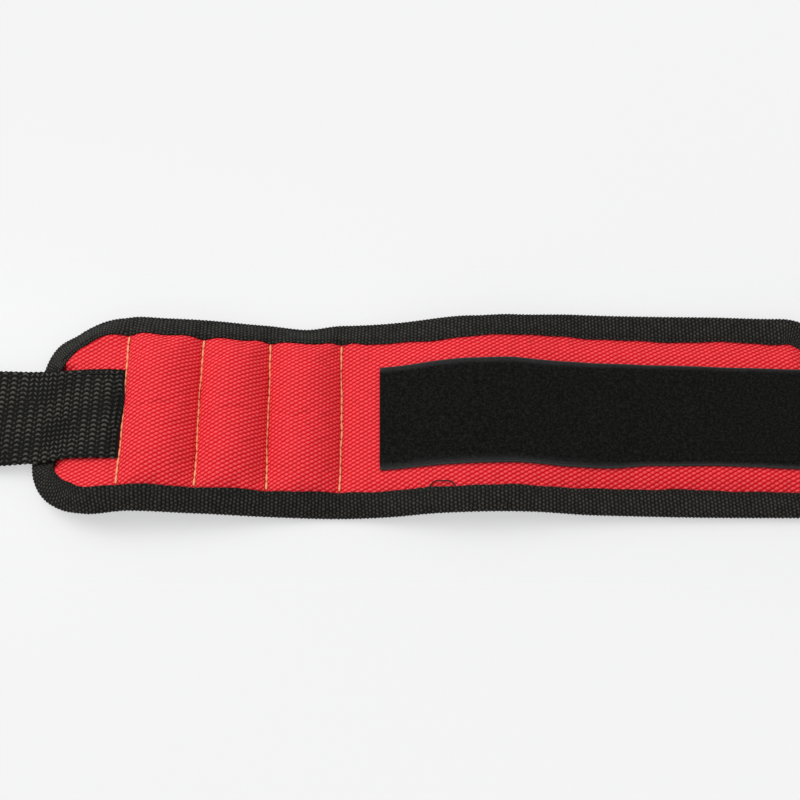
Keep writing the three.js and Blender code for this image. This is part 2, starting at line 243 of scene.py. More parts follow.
class WristbandColours(bpy.types.PropertyGroup):
    """Colours of the cloth, tape and thread."""

    # Painted highlight on the tops of the red yarns, and painted shade in the gaps between them.
    red_crown_highlight: colour("Red crowns", (1.0, 0.098, 0.113), "Top of the red yarns")
    red_gap_shade: colour("Red gaps", (0.61, 0.002, 0.008), "Between the red yarns")
    # Painted highlight on the binding's ribs, and painted shade between them.
    binding_rib_highlight: colour("Binding ribs", (0.0435, 0.042, 0.036), "Ribs of the binding")
    binding_gap_shade: colour("Binding gaps", (0.0020, 0.0019, 0.0015), "Between the ribs")
    # Painted highlight on the webbing's floats, and painted shade between them; the shade colour also fills
    # the lining's gaps and the black thread's twist.
    webbing_float_highlight: colour("Webbing floats", (0.082, 0.0785, 0.066), "Top of the floats")
    webbing_gap_shade: colour("Webbing gaps", (0.0016, 0.0015, 0.0012), "Between the floats")
    pile: colour("Loop pile", (0.0035, 0.0035, 0.0031), "Brushed loop pile")
    selvedge: colour("Selvedge", (0.040, 0.041, 0.042), "Smooth edge of the loop tape")
    thread: colour("Seam thread", (1.0, 0.41, 0.19), "Yellow sewing thread")
    # Painted shade in the grooves of the yellow thread's twist.
    thread_twist_shade: colour("Thread twist", (0.97, 0.34, 0.13), "Twist of the yellow thread")
    black_thread: colour("Black thread", (0.007, 0.0068, 0.006), "Black sewing thread")
    lining: colour("Lining", (0.014, 0.014, 0.015), "Spacer mesh against the wrist")
    nickel: colour("Nickel", (0.60, 0.61, 0.62), "Plating of the magnets")
    foam: colour("Foam", (0.42, 0.42, 0.40), "Foam sheet under the red fabric")
    wadding: colour("Wadding", (0.78, 0.76, 0.72), "Wadding in the pockets")
    hooks: colour("Hooks", (0.008, 0.008, 0.008), "Nylon hooks on the strap tip")


class WristbandStage(bpy.types.PropertyGroup):
    """Camera, floor and light."""

    lens: FloatProperty(name="Lens", default=52.92, description="Focal length in mm")
    elevation: FloatProperty(
        name="Elevation", default=math.radians(68.6), subtype="ANGLE", description="Camera height"
    )
    distance: length("Distance", 0.441, "From the camera to the point it looks at")
    target: FloatVectorProperty(
        name="Target", default=(0.0280, 0.00695, 0.0), subtype="XYZ", description="Looked at"
    )
    floor: colour("Floor", (0.885, 0.885, 0.89), "Pale floor")
    backdrop: colour("Backdrop", (0.91, 0.91, 0.918), "What the camera sees behind the floor")
    key_power: FloatProperty(name="Key light", default=8.2, description="Power in watts")
    ambient: FloatProperty(name="Ambient", default=0.63, description="Strength of the sky")


# The flat band and the line that it follows


def eased(x, stops):
    """Values that pass smoothly from stop to stop, each a place and its value."""
    places, values = np.array(stops).T
    i = np.clip(np.searchsorted(places, x, side="right") - 1, 0, len(places) - 2)
    q = np.clip((x - places[i]) / (places[i + 1] - places[i]), 0, 1)
    return values[i] + (values[i + 1] - values[i]) * q * q * (3 - 2 * q)


def in_mm(pairs, start=0.0, unit=MM):
    """Stops from pairs: a place in mm after the start, and a value in the unit."""
    return [(start + place * MM, value * unit) for place, value in pairs]


def ramp(x):
    """Rises from 0 to 1 and rounds over at the top."""
    return np.sin(np.clip(x, 0, 1) * math.pi / 2)


def samples(start, end, step):
    """Evenly spaced places from start to end, about a step apart."""
    return np.linspace(start, end, max(2, round(abs(end - start) / step) + 1))


class Line:
    """A smooth line in the X-Z plane that a strip of cloth follows."""

    def __init__(self, points):
        self.points = np.array(points)
        steps = np.diff(self.points, axis=0)
        self.spans = np.hypot(*steps.T)
        self.at = np.concatenate([[0], np.cumsum(self.spans)])
        ways = steps / self.spans[:, None]
        tangents = np.vstack([ways[:1], ways[:-1] + ways[1:], ways[-1:]])
        self.tangents = tangents / np.hypot(*tangents.T)[:, None]

    def place(self, along, across, above):
        """Points in space for places along, across and above the line."""
        along, across, above = np.broadcast_arrays(along, across, above)
        i = np.searchsorted(self.at, along, side="right") - 1
        i = np.clip(i, 0, len(self.spans) - 1)
        span = self.spans[i][..., None]
        q = ((along - self.at[i]) / self.spans[i])[..., None]
        start, end = self.points[i], self.points[i + 1]
        leave, arrive = self.tangents[i] * span, self.tangents[i + 1] * span
        point = (2 * q**3 - 3 * q**2 + 1) * start + (q**3 - 2 * q**2 + q) * leave
        point += (3 * q**2 - 2 * q**3) * end + (q**3 - q**2) * arrive
        way = (6 * q**2 - 6 * q) * (start - end) + (3 * q**2 - 4 * q + 1) * leave
        way += (3 * q**2 - 2 * q) * arrive
        way /= np.linalg.norm(way, axis=-1, keepdims=True)
        x = point[..., 0] - way[..., 1] * above
        z = point[..., 1] + way[..., 0] * above
        return np.stack([x, across, z], axis=-1)


def round_off(distance, radius, inset):
    """What a round corner takes off the width, by the distance from the end."""
    inner = radius - inset
    gap = np.clip(radius - distance, 0, inner)
    return inner - np.sqrt(inner**2 - gap**2)


class Band:
    """The padded band: its flat shape, its layers and the way it lies."""

    def __init__(self, sizes):
        self.sizes = sizes
        self.half = sizes.half_width
        folds = [FOLD_POINT[name] for name in FOLD_NAMES]
        rise = np.array([math.cos(sizes.end_slope), math.sin(sizes.end_slope)])
        first = folds[0] - sizes.end_length * rise
        last = folds[-1] + np.array([np.hypot(*(folds[-1] - folds[-2])), 0])
        self.line = Line([first, *folds, last])
        self.folds = self.line.at[1:-1]
        self.seams = self.folds[:SEAMS] + np.array(SEAM_SHIFT)
        self.middles = (self.line.at[:-1] + self.line.at[1:]) / 2
        self.length = self.line.at[-1]
        self.trace_rim()
        self.walk_at = samples(0, self.length, WALK_STEP)
        path = self.place(self.walk_at, 0.0, self.front_height(self.walk_at, 0.0))
        steps = np.linalg.norm(np.diff(path, axis=0), axis=1)
        self.walked = np.concatenate([[0], np.cumsum(steps)])

    def place(self, along, across, height):
        """Points in space for heights above the lining's underside."""
        share = across / self.half
        back, front = self.back_pull(along), self.front_pull(along)
        across = across + front * (1 - share) / 2 - back * (1 + share) / 2
        along = along + self.lean(along) * share - eased(along, [(0, 1.1 * MM), (16 * MM, 0)])
        return self.line.place(along, across, height - self.sizes.fold_height)

    def lean(self, along):
        """How far the back edge is drawn along the band, and the front edge the other way."""
        second, third, last = self.seams[1:]
        stops = [(second, 0), (third, -0.45 * MM), (last, -0.33 * MM), (last + 35 * MM, 0)]
        return eased(along, stops)

    def back_pull(self, along):
        """How far the stuffed pockets draw the back edge in."""
        near = [(1.5, -2.1), (13.5, 3.05), (19, 3.25), (30, 3.2), (36, 2.8), (46, 3.2), (56, 3.1)]
        far = [(-30, 3.5), (-15, 4.3), (0, 2.2), (22, 2.5), (50, 1.4), (65, 0.5)]
        far += [(90, -0.8), (140, -0.9), (166, -0.3)]
        return eased(along, in_mm(near) + in_mm(far, self.seams[-1]))

    def front_pull(self, along):
        """How far the stuffed pockets draw the front edge in."""
        near = [(3, 0.1), (10, 0.25), (16, 0), (25, -0.9), (38, -0.1), (60, -0.4)]
        far = [(-15, -0.5), (18, -0.6), (38, -0.1), (70, 0.4), (92, -0.1), (137, -0.4)]
        return eased(along, in_mm(near) + in_mm(far, self.seams[-1]))

    def trace_rim(self):
        """Walks once round the band's edge, from the strap end's front corner."""
        sizes, half, end = self.sizes, self.half, self.length
        front, back, free = sizes.corner_front, sizes.corner_back, sizes.corner_free
        turns = [(front, front - half, front, 180), (end - free, free - half, free, 270)]
        turns += [(end - free, half - free, free, 0), (back, half - back, back, 90)]
        places, inwards = [], []
        for along, across, radius, start in turns:
            angle = np.radians(start + np.linspace(0, 90, CORNER_STEPS))
            out = np.stack([np.cos(angle), np.sin(angle)], axis=1)
            places.append(np.array([along, across]) + radius * out)
            inwards.append(-out)
        self.rim_places = np.vstack([*places, places[0][:1]])
        self.rim_inwards = np.vstack([*inwards, inwards[0][:1]])
        steps = np.hypot(*np.diff(self.rim_places, axis=0).T)
        self.rim_at = np.concatenate([[0], np.cumsum(steps)])
        self.rim_length = self.rim_at[-1]
        self.rim_front = self.rim_at[CORNER_STEPS - 1] - front
        self.rim_back = self.rim_at[3 * CORNER_STEPS] + back

    def rim(self, distance):
        """Places on the edge and the ways inwards, by the distance round the band."""
        d = np.mod(distance, self.rim_length)
        place = [np.interp(d, self.rim_at, self.rim_places[:, k]) for k in (0, 1)]
        inward = [np.interp(d, self.rim_at, self.rim_inwards[:, k]) for k in (0, 1)]
        return np.stack(place, axis=-1), np.stack(inward, axis=-1)

    def edge(self, along, across):
        """Distance inwards from the band's edge."""
        sizes, half = self.sizes, self.half
        to_free = self.length - along
        inside = np.minimum(np.minimum(along, to_free), half - np.abs(across))
        corners = [(along, sizes.corner_front, -1), (along, sizes.corner_back, 1)]
        corners += [(to_free, sizes.corner_free, -1), (to_free, sizes.corner_free, 1)]
        for from_end, radius, side in corners:
            a = radius - from_end
            b = across * side - (half - radius)
            inside = np.where((a > 0) & (b > 0), radius - np.hypot(a, b), inside)
        return inside

    def reach(self, along, inset, side):
        """How far across the band goes on one side, a given inset from its edge."""
        sizes = self.sizes
        near = sizes.corner_back if side > 0 else sizes.corner_front
        taken = round_off(along, near, inset)
        taken = taken + round_off(self.length - along, sizes.corner_free, inset)
        return self.half - inset - taken

    def back_share(self, across):
        """0 along the front and 1 along the back."""
        return eased(across, [(-SIDE_EASE, 0.0), (SIDE_EASE, 1.0)])

    def seam_pull(self, along, spread):
        """1 at each seam, fading to 0 a little way from it."""
        return sum(np.exp(-(((along - seam) / spread) ** 2)) for seam in self.seams)

    def binding_reach(self, along, across):
        """How far the binding's upper leg comes in from the edge."""
        last = self.seams[-1]
        stops = [(0, 8.8 * MM), (self.seams[0], 8.5 * MM)]
        stops += in_mm([(-15, 8.5), (20, 9.1), (60, 9.2), (135, 10.4)], last)
        stops.append((self.length, 10.0 * MM))
        back = self.back_share(across)
        pull = 0.5 * MM * self.seam_pull(along, 3 * MM) * back
        waver = 0.15 * MM * np.sin(along * 190) + 0.1 * MM * np.sin(along * 431 + 1)
        more_front = in_mm([(0, 0.9), (7, 1.3), (15, 1.2), (24, 0.3), (38, 0)])
        more_front += in_mm([(60, 0), (120, -0.2), (150, -0.7), (170, -1.1)], last)
        more_back = in_mm([(7, -0.9), (14, 0), (38, 0), (50, 0.7), (75, 0.6)])
        far = [(-30, 0.1), (4, 0), (10, 0.9), (22, 0.3), (38, 1.4), (58, 0)]
        more_back += in_mm([*far, (120, 0.1), (150, -0.3), (166, 0.4)], last)
        more = eased(along, more_front) * (1 - back) + eased(along, more_back) * back
        return eased(along, stops) + more + pull + waver

    def binding_inner(self, along, across):
        """Height of the binding's top at its inner edge."""
        far = [(-28, 7.0), (-15, 7.6), (0, 6.2), (20, 4.2), (60, 4.6), (97, 3.0), (135, 2.7)]
        stops = in_mm([(0, 5.5), (20, 6.6)]) + in_mm(far, self.seams[-1])
        dip = 1.0 * MM + 1.0 * MM * self.back_share(across)
        height = eased(along, stops) - dip * self.seam_pull(along, 3.5 * MM)
        covered = eased(np.abs(across + 2 * MM), [(18.5 * MM, 1), (22 * MM, 0)])
        pressed = covered * eased(along, [(12 * MM, 1), (18 * MM, 0)])
        return height + (3.3 * MM - height) * pressed

    def binding_top(self, along, across, edge):
        """Height of the binding's upper face, by the distance from the edge."""
        fold = self.sizes.binding_fold
        share = (edge - fold) / (self.binding_reach(along, across) - fold)
        share = np.clip(share, 0, 1)
        outer = 2 * fold + self.edge_lift(along, fold)
        rise = self.binding_inner(along, across) - outer
        return outer + share * rise + 0.35 * MM * np.sin(math.pi * share)

    def edge_lift(self, along, edge):
        """How far the band's edge stands off the table, by the distance from it."""
        fold, width = self.sizes.binding_fold, self.sizes.binding_width
        last = self.seams[-1]
        lift = eased(along, [(last + 30 * MM, 0), (last + 85 * MM, 1.0 * MM)])
        return lift * np.clip((width - edge) / (width - fold), 0, 1)

    def front_height(self, along, across):
        """Height of the red fabric's face."""
        sizes = self.sizes
        edge = self.edge(along, across)
        reach = self.binding_reach(along, across)
        cover = sizes.binding_thickness + LAYER_GAP
        inside = np.clip(edge - reach, 0, None)
        first, last = self.seams[0], self.seams[-1]
        base = self.binding_inner(along, across) - cover
        floor = eased(along, [(first, 4.2 * MM), (first + 14 * MM, sizes.seam_level)])
        seam = base + (floor - base) * eased(inside, [(0, 0), (SEAM_RISE, 1)])
        level = base + (sizes.loop_level - base) * ramp(inside / LEVEL_RISE)
        crest = base + (sizes.pocket_crest - base) * ramp(inside / CREST_RISE) ** 0.8
        from_first = np.clip((first - along) / END_FLANK, 0, 1)
        from_last = np.clip((along - last) / LOOP_FLANK, 0, 1)
        height = level + (seam - level) * (1 - np.where(along < first, from_first, from_last)) ** 2
        for start, end in zip(self.seams[:-1], self.seams[1:]):
            x = np.clip(2 * (along - start) / (end - start) - 1, -1, 1)
            puffed = seam + (crest - seam) * (1 - x**2) ** 0.62
            height = np.where((along > start) & (along <= end), puffed, height)
        waves = np.sin(along * 700 + 3 * np.sin(along * 97)) * np.sin(along * 260 + 1)
        pucker = 0.3 * MM * waves * np.exp(-inside / (5 * MM))
        under = self.binding_top(along, across, edge) - cover
        return np.where(edge < reach, under, height + pucker * ramp(inside / (2 * MM)))


class Strap:
    """The webbing strap, sewn to the band's end and lying out past it."""

    def __init__(self, band):
        sizes = band.sizes
        half = sizes.webbing_thickness / 2
        sewn_to = band.seams[0] - sizes.webbing_from_seam
        curl, fold = FOLD_POINT["strap_curl"], FOLD_POINT["strap_fold"]
        tip = np.array([CAD_BOX[0].x, curl[1]])
        rest = in_mm([(3, 3.75), (10, 4.4), (16, 5.4), (28, 5.35)])
        rest.append((sewn_to, 4.35 * MM))
        sewn = [band.place(s, 0.0, h + half)[[0, 2]] for s, h in rest]
        self.line = Line([tip, curl, fold, *sewn])
        self.curl, self.fold = self.line.at[1], self.line.at[2]
        self.length = self.line.at[-1]
        self.drift = [(0, 0), (self.curl, -1.2 * MM), (self.fold, -2.2 * MM), (self.length, -3.8 * MM)]
        self.spread = in_mm([(-50, 1.07), (-34, 1.035), (-18, 0.983), (0, 0.98)], self.length, 1.0)
        self.cut = (self.curl + self.fold) / 2

    def place(self, along, across, above):
        """Points in space for places along, across and above the strap's middle."""
        across = across * eased(along, self.spread) + eased(along, self.drift)
        return self.line.place(along, across, above)


# Making and finishing pieces


def activate(piece):
    """Selects one piece and nothing else."""
    bpy.ops.object.select_all(action="DESELECT")
    piece.select_set(True)
    bpy.context.view_layer.objects.active = piece


def coordinates(mesh):
    """The places of a mesh's points."""
    flat = np.empty(len(mesh.vertices) * 3, np.float32)
    mesh.vertices.foreach_get("co", flat)
    return flat.reshape(-1, 3)


def set_measure(mesh, layer, measure):
    """Gives each corner of a mesh the flat measure of its point."""
    corner = np.empty(len(mesh.loops), np.int32)
    mesh.loops.foreach_get("vertex_index", corner)
    layer.data.foreach_set("uv", measure[corner % len(measure)].astype(np.float32).ravel())


def grid_piece(name, points, measure, relief=None):
    """A grid whose rows and columns go to the given points, with a flat measure as its UV map."""
    columns, rows = points.shape[:2]
    bpy.ops.object.select_all(action="DESELECT")
    bpy.ops.mesh.primitive_grid_add(x_subdivisions=columns - 1, y_subdivisions=rows - 1, size=2)
    piece = bpy.context.object
    piece.name = piece.data.name = name
    mesh = piece.data
    flat = coordinates(mesh)
    i = np.rint((flat[:, 0] + 1) / 2 * (columns - 1)).astype(int)
    j = np.rint((flat[:, 1] + 1) / 2 * (rows - 1)).astype(int)
    mesh.vertices.foreach_set("co", points[i, j].astype(np.float32).ravel())
    layer = mesh.uv_layers.active
    layer.name = "Cloth"
    set_measure(mesh, layer, measure[i, j])
    if relief is not None:
        marks = mesh.attributes.new("Relief", "FLOAT", "POINT")
        marks.data.foreach_set("value", relief[i, j].astype(np.float32))
    mesh.update()
    return piece


def close_round(piece):
    """Joins a rolled-up grid along its length and caps its two ends."""
    activate(piece)
    bpy.ops.object.mode_set(mode="EDIT")
    bpy.ops.mesh.select_all(action="SELECT")
    bpy.ops.mesh.remove_doubles(threshold=0.001 * MM)
    bpy.ops.mesh.select_all(action="DESELECT")
    bpy.ops.mesh.select_non_manifold()
    bpy.ops.mesh.fill_holes(sides=0)
    bpy.ops.object.mode_set(mode="OBJECT")


def thicken(piece, thickness):
    """Gives a sheet its thickness, behind its face."""
    activate(piece)
    bpy.ops.object.modifier_add(type="SOLIDIFY")
    wall = piece.modifiers[-1]
    wall.thickness = thickness
    wall.offset = -1
    bpy.ops.object.modifier_apply(modifier=wall.name)


def smooth(piece, degrees):
    """Smooth shading with crisp edges."""
    activate(piece)
    bpy.ops.object.shade_smooth_by_angle(angle=math.radians(degrees))


def sheet_piece(name, points, measure, thickness, degrees=40):
    """A grid of cloth with its thickness."""
    piece = grid_piece(name, points, measure)
    thicken(piece, thickness)
    smooth(piece, degrees)
    return piece


def rolled_piece(name, points, measure, degrees, relief=None):
    """A grid rolled up to a closed bar."""
    piece = grid_piece(name, points, measure, relief)
    close_round(piece)
    smooth(piece, degrees)
    return piece


def join(piece, others):
    """Joins other pieces into the first."""
    activate(piece)
    for other in others:
        other.select_set(True)
    bpy.ops.object.join()


def dress(piece, finish, slot, *nodes):
    """Gives a piece its material and hides the frame nodes that it stands for. The slot is not used."""
    piece.data.materials.clear()
    piece.data.materials.append(finish)
    if nodes:
        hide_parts(*nodes)


def bend(piece, fold, shift=0.0):
    """Bakes a piece's transform into its mesh; the fold's point is looked up but not used."""
    x, z = FOLD_POINT[fold]
    x += shift
    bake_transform(piece)


def bar_loop(width, thickness, radius, step):
    """Across and up, round a flat bar's section, starting along its top from the front."""
    half, side = width / 2, thickness / 2
    top = samples(-half + radius, half - radius, step)
    turn = np.linspace(0, math.pi, 9)[1:-1]
    bulge = half - radius + radius * np.sin(turn)
    drop = side * np.cos(turn)
    across = np.concatenate([top, bulge, top[::-1], -bulge, top[:1]])
    flat = np.full(len(top), side)
    up = np.concatenate([flat, drop, -flat, -drop, flat[:1]])
    return across, up


def stitch_shape(pitch, width):
    """One plump stitch, modelled once: its points, faces and measure."""
    bpy.ops.object.select_all(action="DESELECT")
    bpy.ops.mesh.primitive_uv_sphere_add(segments=8, ring_count=7, radius=1)
    ball = bpy.context.object
    points = np.array([v.co[:] for v in ball.data.vertices])[:, [2, 0, 1]]
    faces = [list(p.vertices) for p in ball.data.polygons]
    bpy.data.meshes.remove(ball.data)
    along = np.sign(points[:, 0]) * np.abs(points[:, 0]) ** 0.75
    turn = np.arctan2(points[:, 2], points[:, 1]) / TURN
    size = np.array([0.5 * pitch, width / 2, 0.45 * width])
    shaped = np.stack([along, points[:, 1], points[:, 2]], axis=1) * size
    return shaped, faces, np.stack([shaped[:, 0], turn], axis=1)


def stitch_row(name, centres, ways, ups, shape):
    """Copies a stitch to each place, pointing along its way."""
    points, faces, measure = shape
    sides = np.cross(ups, ways)
    axes = np.stack([ways, sides, ups], axis=1)
    every = np.einsum("pk,nkx->npx", points, axes) + centres[:, None]
    count = len(points)
    all_faces = [[v + count * n for v in face] for n in range(len(centres)) for face in faces]
    mesh = bpy.data.meshes.new(name)
    mesh.from_pydata(every.reshape(-1, 3).tolist(), [], all_faces)
    set_measure(mesh, mesh.uv_layers.new(name="Cloth"), measure)
    piece = bpy.data.objects.new(name, mesh)
    bpy.context.collection.objects.link(piece)
    smooth(piece, 80)
    return piece


def row_frames(points, ups):
    """Middle, way and upward direction of each step of a stitched line."""
    ways = np.diff(points, axis=0)
    ways /= np.linalg.norm(ways, axis=1, keepdims=True)
    ups = (ups[:-1] + ups[1:]) / 2
    ups = ups - ways * (ups * ways).sum(axis=1, keepdims=True)
    ups /= np.linalg.norm(ups, axis=1, keepdims=True)
    return (points[:-1] + points[1:]) / 2, ways, ups


def sewn_line(name, cloth, along, across, height, shape):
    """A row of stitches at a height over the band or the strap."""
    points = cloth.place(along, across, height)
    above = cloth.place(along, across, height + MM)
    return stitch_row(name, *row_frames(points, (above - points) / MM), shape)


# Finishes


class Nodes:
    """Adds nodes to one node tree."""

    def __init__(self, tree):
        self.tree = tree

    def feed(self, socket, value):
        """Sets a socket's value, or links another socket to it."""
        if isinstance(value, bpy.types.NodeSocket):
            self.tree.links.new(value, socket)
        else:
            socket.default_value = value

    def fill(self, node, inputs):
        """Feeds a node's inputs by their names or numbers."""
        for key, value in inputs.items():
            self.feed(node.inputs[key], value)

    def add(self, kind, inputs=None, **settings):
        """A new node with its inputs and settings."""
        made = self.tree.nodes.new(kind)
        for key, value in settings.items():
            setattr(made, key, value)
        self.fill(made, inputs or {})
        return made

    def math(self, operation, *values, kind="ShaderNodeMath"):
        """The result of a sum on values."""
        return self.add(kind, dict(enumerate(values)), operation=operation).outputs[0]

    def vector(self, operation, *values):
        """The result of a sum on vectors."""
        return self.math(operation, *values, kind="ShaderNodeVectorMath")

    def mix(self, share, first, second, blend_type="MIX"):
        """A colour mixed from two others."""
        inputs = {0: share, 6: first, 7: second}
        return self.add("ShaderNodeMix", inputs, data_type="RGBA", blend_type=blend_type).outputs[2]

    def noise(self, place, scale, detail):
        """Noise between 0 and 1."""
        inputs = {"Vector": place, "Scale": scale, "Detail": detail}
        return self.add("ShaderNodeTexNoise", inputs).outputs["Fac"]

    def ranged(self, value, low, high, to=(0.0, 1.0), kind="LINEAR"):
        """A value moved to another range."""
        inputs = {"Value": value, "From Min": low, "From Max": high, "To Min": to[0], "To Max": to[1]}
        return self.add("ShaderNodeMapRange", inputs, interpolation_type=kind).outputs["Result"]

    def wave(self, angle):
        """A cosine between 0 and 1."""
        return self.math("MULTIPLY_ADD", self.math("COSINE", angle), 0.5, 0.5)

    def toned(self, value, share):
        """A value that counts by its share, and 1 for the rest."""
        return self.math("MULTIPLY_ADD", value, share, self.math("SUBTRACT", 1.0, share))

    def measure(self):
        """The flat measure of the cloth."""
        return self.add("ShaderNodeUVMap", uv_map="Cloth").outputs["UV"]

    def split(self, vector):
        """The X, Y and Z of a vector."""
        return self.add("ShaderNodeSeparateXYZ", {"Vector": vector}).outputs


def new_group(name, inputs, outputs):
    """An empty shader node group with float sockets."""
    group = bpy.data.node_groups.new(name, "ShaderNodeTree")
    for label, default in inputs.items():
        kind = "NodeSocketVector" if default is None else "NodeSocketFloat"
        socket = group.interface.new_socket(label, in_out="INPUT", socket_type=kind)
        if default is not None:
            socket.default_value = default
    for label in outputs:
        group.interface.new_socket(label, in_out="OUTPUT", socket_type="NodeSocketFloat")
    nodes = Nodes(group)
    start = nodes.add("NodeGroupInput").outputs
    end = nodes.add("NodeGroupOutput").inputs
    return nodes, start, end


def brick_weave():
    """Rows of short yarn floats laid like bricks, with the yarns' slant. The crown output marks the yarn
    tops for the mix from the painted shade of the gaps to the colour of the tops.
    """
    if "Brick Weave" in bpy.data.node_groups:
        return bpy.data.node_groups["Brick Weave"]
    inputs = {"Measure": None, "Along Pitch": 0.003, "Across Pitch": 0.0016}
    inputs.update({"Slant": 0.3, "Rib": 0.5, "Bead": 1.0})
    nodes, start, end = new_group("Brick Weave", inputs, ["Height", "Crown"])
    split = nodes.split(start["Measure"])
    stray = nodes.math("SUBTRACT", nodes.noise(start["Measure"], 260.0, 2.0), 0.5)
    along = nodes.math("ADD", split["X"], nodes.math("MULTIPLY", stray, 1.1 * MM))
    a = nodes.math("MULTIPLY", nodes.math("DIVIDE", along, start["Along Pitch"]), TURN)
    b = nodes.math("MULTIPLY", nodes.math("DIVIDE", split["Y"], start["Across Pitch"]), TURN)
    rising = nodes.wave(nodes.math("SUBTRACT", a, b))
    falling = nodes.wave(nodes.math("ADD", a, b))
    parted = nodes.math("SUBTRACT", 1.0, start["Slant"])
    broken = nodes.math("MULTIPLY_ADD", falling, parted, start["Slant"])
    grain = nodes.toned(nodes.math("MULTIPLY", rising, broken), start["Bead"])
    rib = nodes.wave(nodes.math("MULTIPLY", a, 2.0))
    height = nodes.math("MULTIPLY", grain, nodes.toned(rib, start["Rib"]))
    nodes.feed(end["Height"], height)
    nodes.feed(end["Crown"], nodes.ranged(height, 0.0, 0.5, kind="SMOOTHSTEP"))
    return nodes.tree


def fibre_fleck():
    """Uneven light and dark of fibres, coarse and fine."""
    if "Fibre Fleck" in bpy.data.node_groups:
        return bpy.data.node_groups["Fibre Fleck"]
    inputs = {"Place": None, "Coarse": 60.0, "Fine": 1800.0, "Depth": 0.2}
    nodes, start, end = new_group("Fibre Fleck", inputs, ["Shade", "Grain"])
    coarse = nodes.noise(start["Place"], start["Coarse"], 3.0)
    fine = nodes.noise(start["Place"], start["Fine"], 3.0)
    both = nodes.math("SUBTRACT", nodes.math("ADD", coarse, fine), 1.0)
    nodes.feed(end["Shade"], nodes.math("MULTIPLY_ADD", both, start["Depth"], 1.0))
    nodes.feed(end["Grain"], fine)
    return nodes.tree


def start_finish(name):
    """A new material with a bare shader."""
    finish = bpy.data.materials.new(name)
    finish.use_nodes = True
    nodes = Nodes(finish.node_tree)
    shader = finish.node_tree.nodes["Principled BSDF"]
    return finish, nodes, shader


def solid_colour(value):
    """A colour with its alpha."""
    return (*value, 1.0)


def flecked(nodes, coarse, fine, depth):
    """Shade and grain of fibres, by the place on the piece."""
    place = nodes.add("ShaderNodeTexCoord").outputs["Object"]
    inputs = {"Place": place, "Coarse": coarse, "Fine": fine, "Depth": depth}
    return nodes.add("ShaderNodeGroup", inputs, node_tree=fibre_fleck()).outputs


def shaded(nodes, base, shade):
    """A colour with the light and dark of fibres."""
    grey = nodes.add("ShaderNodeCombineColor", dict.fromkeys(("Red", "Green", "Blue"), shade))
    return nodes.mix(1.0, base, grey.outputs["Color"], "MULTIPLY")


def settle(nodes, shader, height, relief, inputs):
    """Feeds a shader its inputs and the relief of a height."""
    bump = nodes.add("ShaderNodeBump", {"Height": height, "Distance": relief, "Strength": 1.0})
    nodes.fill(shader, {**inputs, "Normal": bump.outputs["Normal"]})


def woven(name, light, dark, pitch, slant, rib, rough, relief, sheen=0.0, fleck=0.25, gloss=0.35, bead=1.0):
    """A woven cloth with raised yarns: painted shade in the gaps, and on the red and the binding a painted
    highlight on the yarn tops.
    """
    if name in bpy.data.materials:
        return bpy.data.materials[name]
    finish, nodes, shader = start_finish(name)
    inputs = {"Measure": nodes.measure(), "Along Pitch": pitch[0], "Across Pitch": pitch[1]}
    inputs.update({"Slant": slant, "Rib": rib, "Bead": bead})
    weave = nodes.add("ShaderNodeGroup", inputs, node_tree=brick_weave()).outputs
    fibres = flecked(nodes, coarse=400.0, fine=1800.0, depth=fleck)
    # Mixes from the painted shade of the gaps to the light colour of the yarn tops.
    yarn = nodes.mix(weave["Crown"], solid_colour(dark), solid_colour(light))
    raised = nodes.math("MULTIPLY_ADD", fibres["Grain"], 0.15, weave["Height"])
    inputs = {
        "Base Color": shaded(nodes, yarn, fibres["Shade"]),
        "Roughness": nodes.math("MULTIPLY_ADD", fibres["Grain"], 0.2, rough - 0.1),
        "Specular IOR Level": gloss,
        "Sheen Weight": sheen,
        "Sheen Roughness": 0.5,
    }
    settle(nodes, shader, raised, relief, inputs)
    return finish


def fibrous(name, light, rough, coarse, fine, depth, relief, sheen=0.0, metal=0.0):
    """A matte material of fibres or grains without a weave."""
    if name in bpy.data.materials:
        return bpy.data.materials[name]
    finish, nodes, shader = start_finish(name)
    fibres = flecked(nodes, coarse, fine, depth)
    inputs = {
        "Base Color": shaded(nodes, solid_colour(light), fibres["Shade"]),
        "Roughness": nodes.math("MULTIPLY_ADD", fibres["Grain"], 0.2, rough - 0.1),
        "Specular IOR Level": 0.3,
        "Sheen Weight": sheen,
        "Sheen Roughness": 0.4,
        "Metallic": metal,
    }
    settle(nodes, shader, fibres["Grain"], relief, inputs)
    return finish


def brushed_loop(colours, sizes):
    """Brushed pile that thins out to a smooth selvedge along both edges."""
    finish, nodes, shader = start_finish("brushed_loop")
    fibres = flecked(nodes, coarse=1100.0, fine=3000.0, depth=10.0)
    split = nodes.split(nodes.measure())
    stray = nodes.math("MULTIPLY_ADD", fibres["Grain"], 1.6 * MM, -0.8 * MM)
    across = nodes.math("ADD", nodes.math("ABSOLUTE", split["Y"]), stray)
    edge, rim = sizes.tape_width / 2, sizes.selvedge
    inner = nodes.ranged(split["X"], *SELVEDGE_NARROWS, (edge - 1.8 * rim, edge - 1.2 * rim))
    bare = nodes.math("POWER", nodes.ranged(across, inner, edge - 0.1 * rim), 1.6)
    hair = shaded(nodes, solid_colour(colours.pile), fibres["Shade"])
    inputs = {
        "Base Color": nodes.mix(bare, hair, solid_colour(colours.selvedge)),
        "Roughness": nodes.math("MULTIPLY_ADD", fibres["Grain"], 0.15, 0.8),
        "Specular IOR Level": 0.1,
        "Sheen Weight": 0.04,
    }
    settle(nodes, shader, fibres["Grain"], 0.2 * MM, inputs)
    return finish


